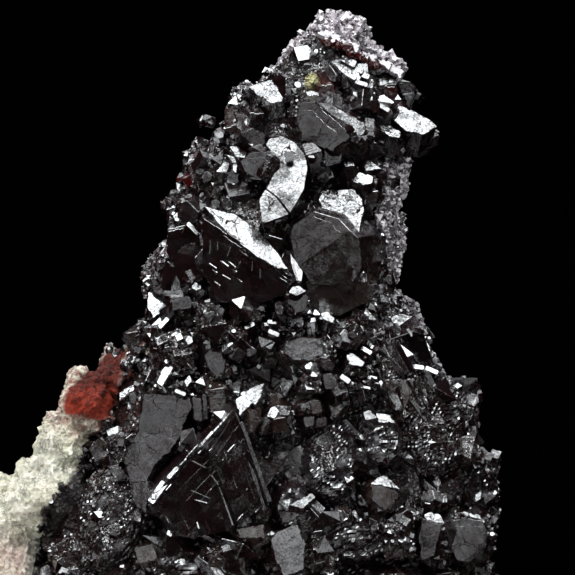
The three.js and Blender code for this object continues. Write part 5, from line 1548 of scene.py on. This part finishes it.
for piece, slot in (
    (main_crystals, "cuprite"), (middling_crystals, "cuprite"), (fine_crystals, "cuprite"),
    (dark_grains, "cuprite"), (pale_grains, "host_rock"), (rock, "host_rock"), (knob, "malachite"),
):
    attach(piece, "root")
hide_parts("cuprite_crystals")
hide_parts("matrix_rock")
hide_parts("malachite_grain")

# ---------------------------------------------------------------- camera, light and floor

TARGET = (np.array((6.4, -6.0, 41.6)) + SHIFT) * MM
CAMERA_DISTANCE = 0.9
VIEW_WIDTH = 0.06325
SENSOR_WIDTH = 36

camera_data = bpy.data.cameras.new("camera")
camera_data.sensor_width = SENSOR_WIDTH
camera_data.lens = SENSOR_WIDTH * CAMERA_DISTANCE / VIEW_WIDTH
camera_data.clip_start = 0.01
camera = bpy.data.objects.new("camera", camera_data)
camera.location = (TARGET[0], TARGET[1] - CAMERA_DISTANCE, TARGET[2])
camera.rotation_euler = (math.radians(90), 0, 0)
bpy.context.scene.collection.objects.link(camera)
bpy.context.scene.camera = camera


COOL = (0.93, 0.97, 1.0)


def panel(name, turn, tilt, distance, width, height, radiance, colour=(1, 1, 1), mirrored=True):
    """A flat light that faces the specimen from the given direction. Radiance is what a mirror shows. A
    light that isn't mirrored only lights the rough surfaces."""
    data = bpy.data.lights.new(name, "AREA")
    data.shape = "RECTANGLE"
    data.size, data.size_y = width, height
    data.energy = radiance * math.pi * width * height
    data.color = colour
    light = bpy.data.objects.new(name, data)
    away = Vector(facing(turn, tilt))
    centre = Vector(TARGET)
    light.location = centre + away * distance
    light.rotation_euler = away.to_track_quat("Z", "Y").to_euler()
    light.visible_glossy = mirrored
    bpy.context.scene.collection.objects.link(light)


# Name, turn, tilt, distance, width, height and radiance of each softbox and panel.
for name, *light in (
    ("overhead_softbox", -4, 67, 0.5, 0.76, 0.36, 2.9),
    ("overhead_core", -4, 72, 0.5, 0.76, 0.27, 2.3),
    ("top_panel", 180, 76, 0.5, 0.5, 0.2, 1.6),
    ("left_softbox", -60, 56, 0.5, 0.24, 0.24, 4.2),
    ("right_softbox", 54, 65.5, 0.5, 0.28, 0.17, 3.5),
    ("upper_left_panel", -86, 42, 0.6, 0.24, 0.3, 1.2),
    ("upper_right_panel", 84, 42, 0.6, 0.24, 0.3, 1.0),
    ("left_middle_panel", -58, 35, 0.6, 0.24, 0.14, 0.9),
    ("right_middle_panel", 58, 43, 0.6, 0.28, 0.18, 1.2),
    ("high_front_panel", -4, 36, 1.0, 0.9, 0.26, 1.15),
    ("front_wash", 2, 6, 1.15, 1.5, 0.8, 0.04),
    ("front_panel", -16, 12, 1.1, 0.66, 0.44, 0.36),
    ("front_core", 6, 24, 1.1, 0.3, 0.2, 0.4),
    ("left_front_panel", -31, 23, 1.1, 0.2, 0.2, 0.5),
    ("low_panel", 17, 0, 1.1, 0.4, 0.36, 0.46),
    ("left_strip", -58, 10, 0.7, 0.14, 0.5, 0.7),
    ("right_strip", 56, 6, 0.7, 0.18, 0.5, 0.8),
    ("under_left_panel", -34, -30, 0.7, 0.2, 0.2, 0.25),
    ("under_right_panel", 40, -30, 0.7, 0.2, 0.2, 0.2),
    ("back_panel", 180, 25, 0.8, 0.6, 0.5, 1.2),
):
    panel(name, *light, colour=COOL)
panel("rock_fill", -34, 40, 1.1, 0.7, 0.6, 6.0, mirrored=False)

world = bpy.data.worlds.new("world")
world.use_nodes = True
world.node_tree.nodes["Background"].inputs["Color"].default_value = (0.8, 0.88, 1.0, 1)
world.node_tree.nodes["Background"].inputs["Strength"].default_value = 0.0003
bpy.context.scene.world = world

FLOOR = 0.12  # half its width
floor_mesh = bpy.data.meshes.new("floor")
corners = [(-FLOOR, -FLOOR, 0), (FLOOR, -FLOOR, 0), (FLOOR, FLOOR, 0), (-FLOOR, FLOOR, 0)]
floor_mesh.from_pydata(corners, [], [(0, 1, 2, 3)])
paper = Nodes("pale_floor")
tint = paper.noise(paper.add("TexCoord").outputs["Object"], 60.0, 3)
floor_mesh.materials.append(paper.finish(
    Base_Color=paper.blend(tint, (0.66, 0.66, 0.65, 1), (0.7, 0.7, 0.69, 1)), Roughness=0.8,
))
floor = bpy.data.objects.new("floor", floor_mesh)
bpy.context.scene.collection.objects.link(floor)
floor.visible_glossy = False

bpy.context.scene.view_settings.view_transform = "Standard"
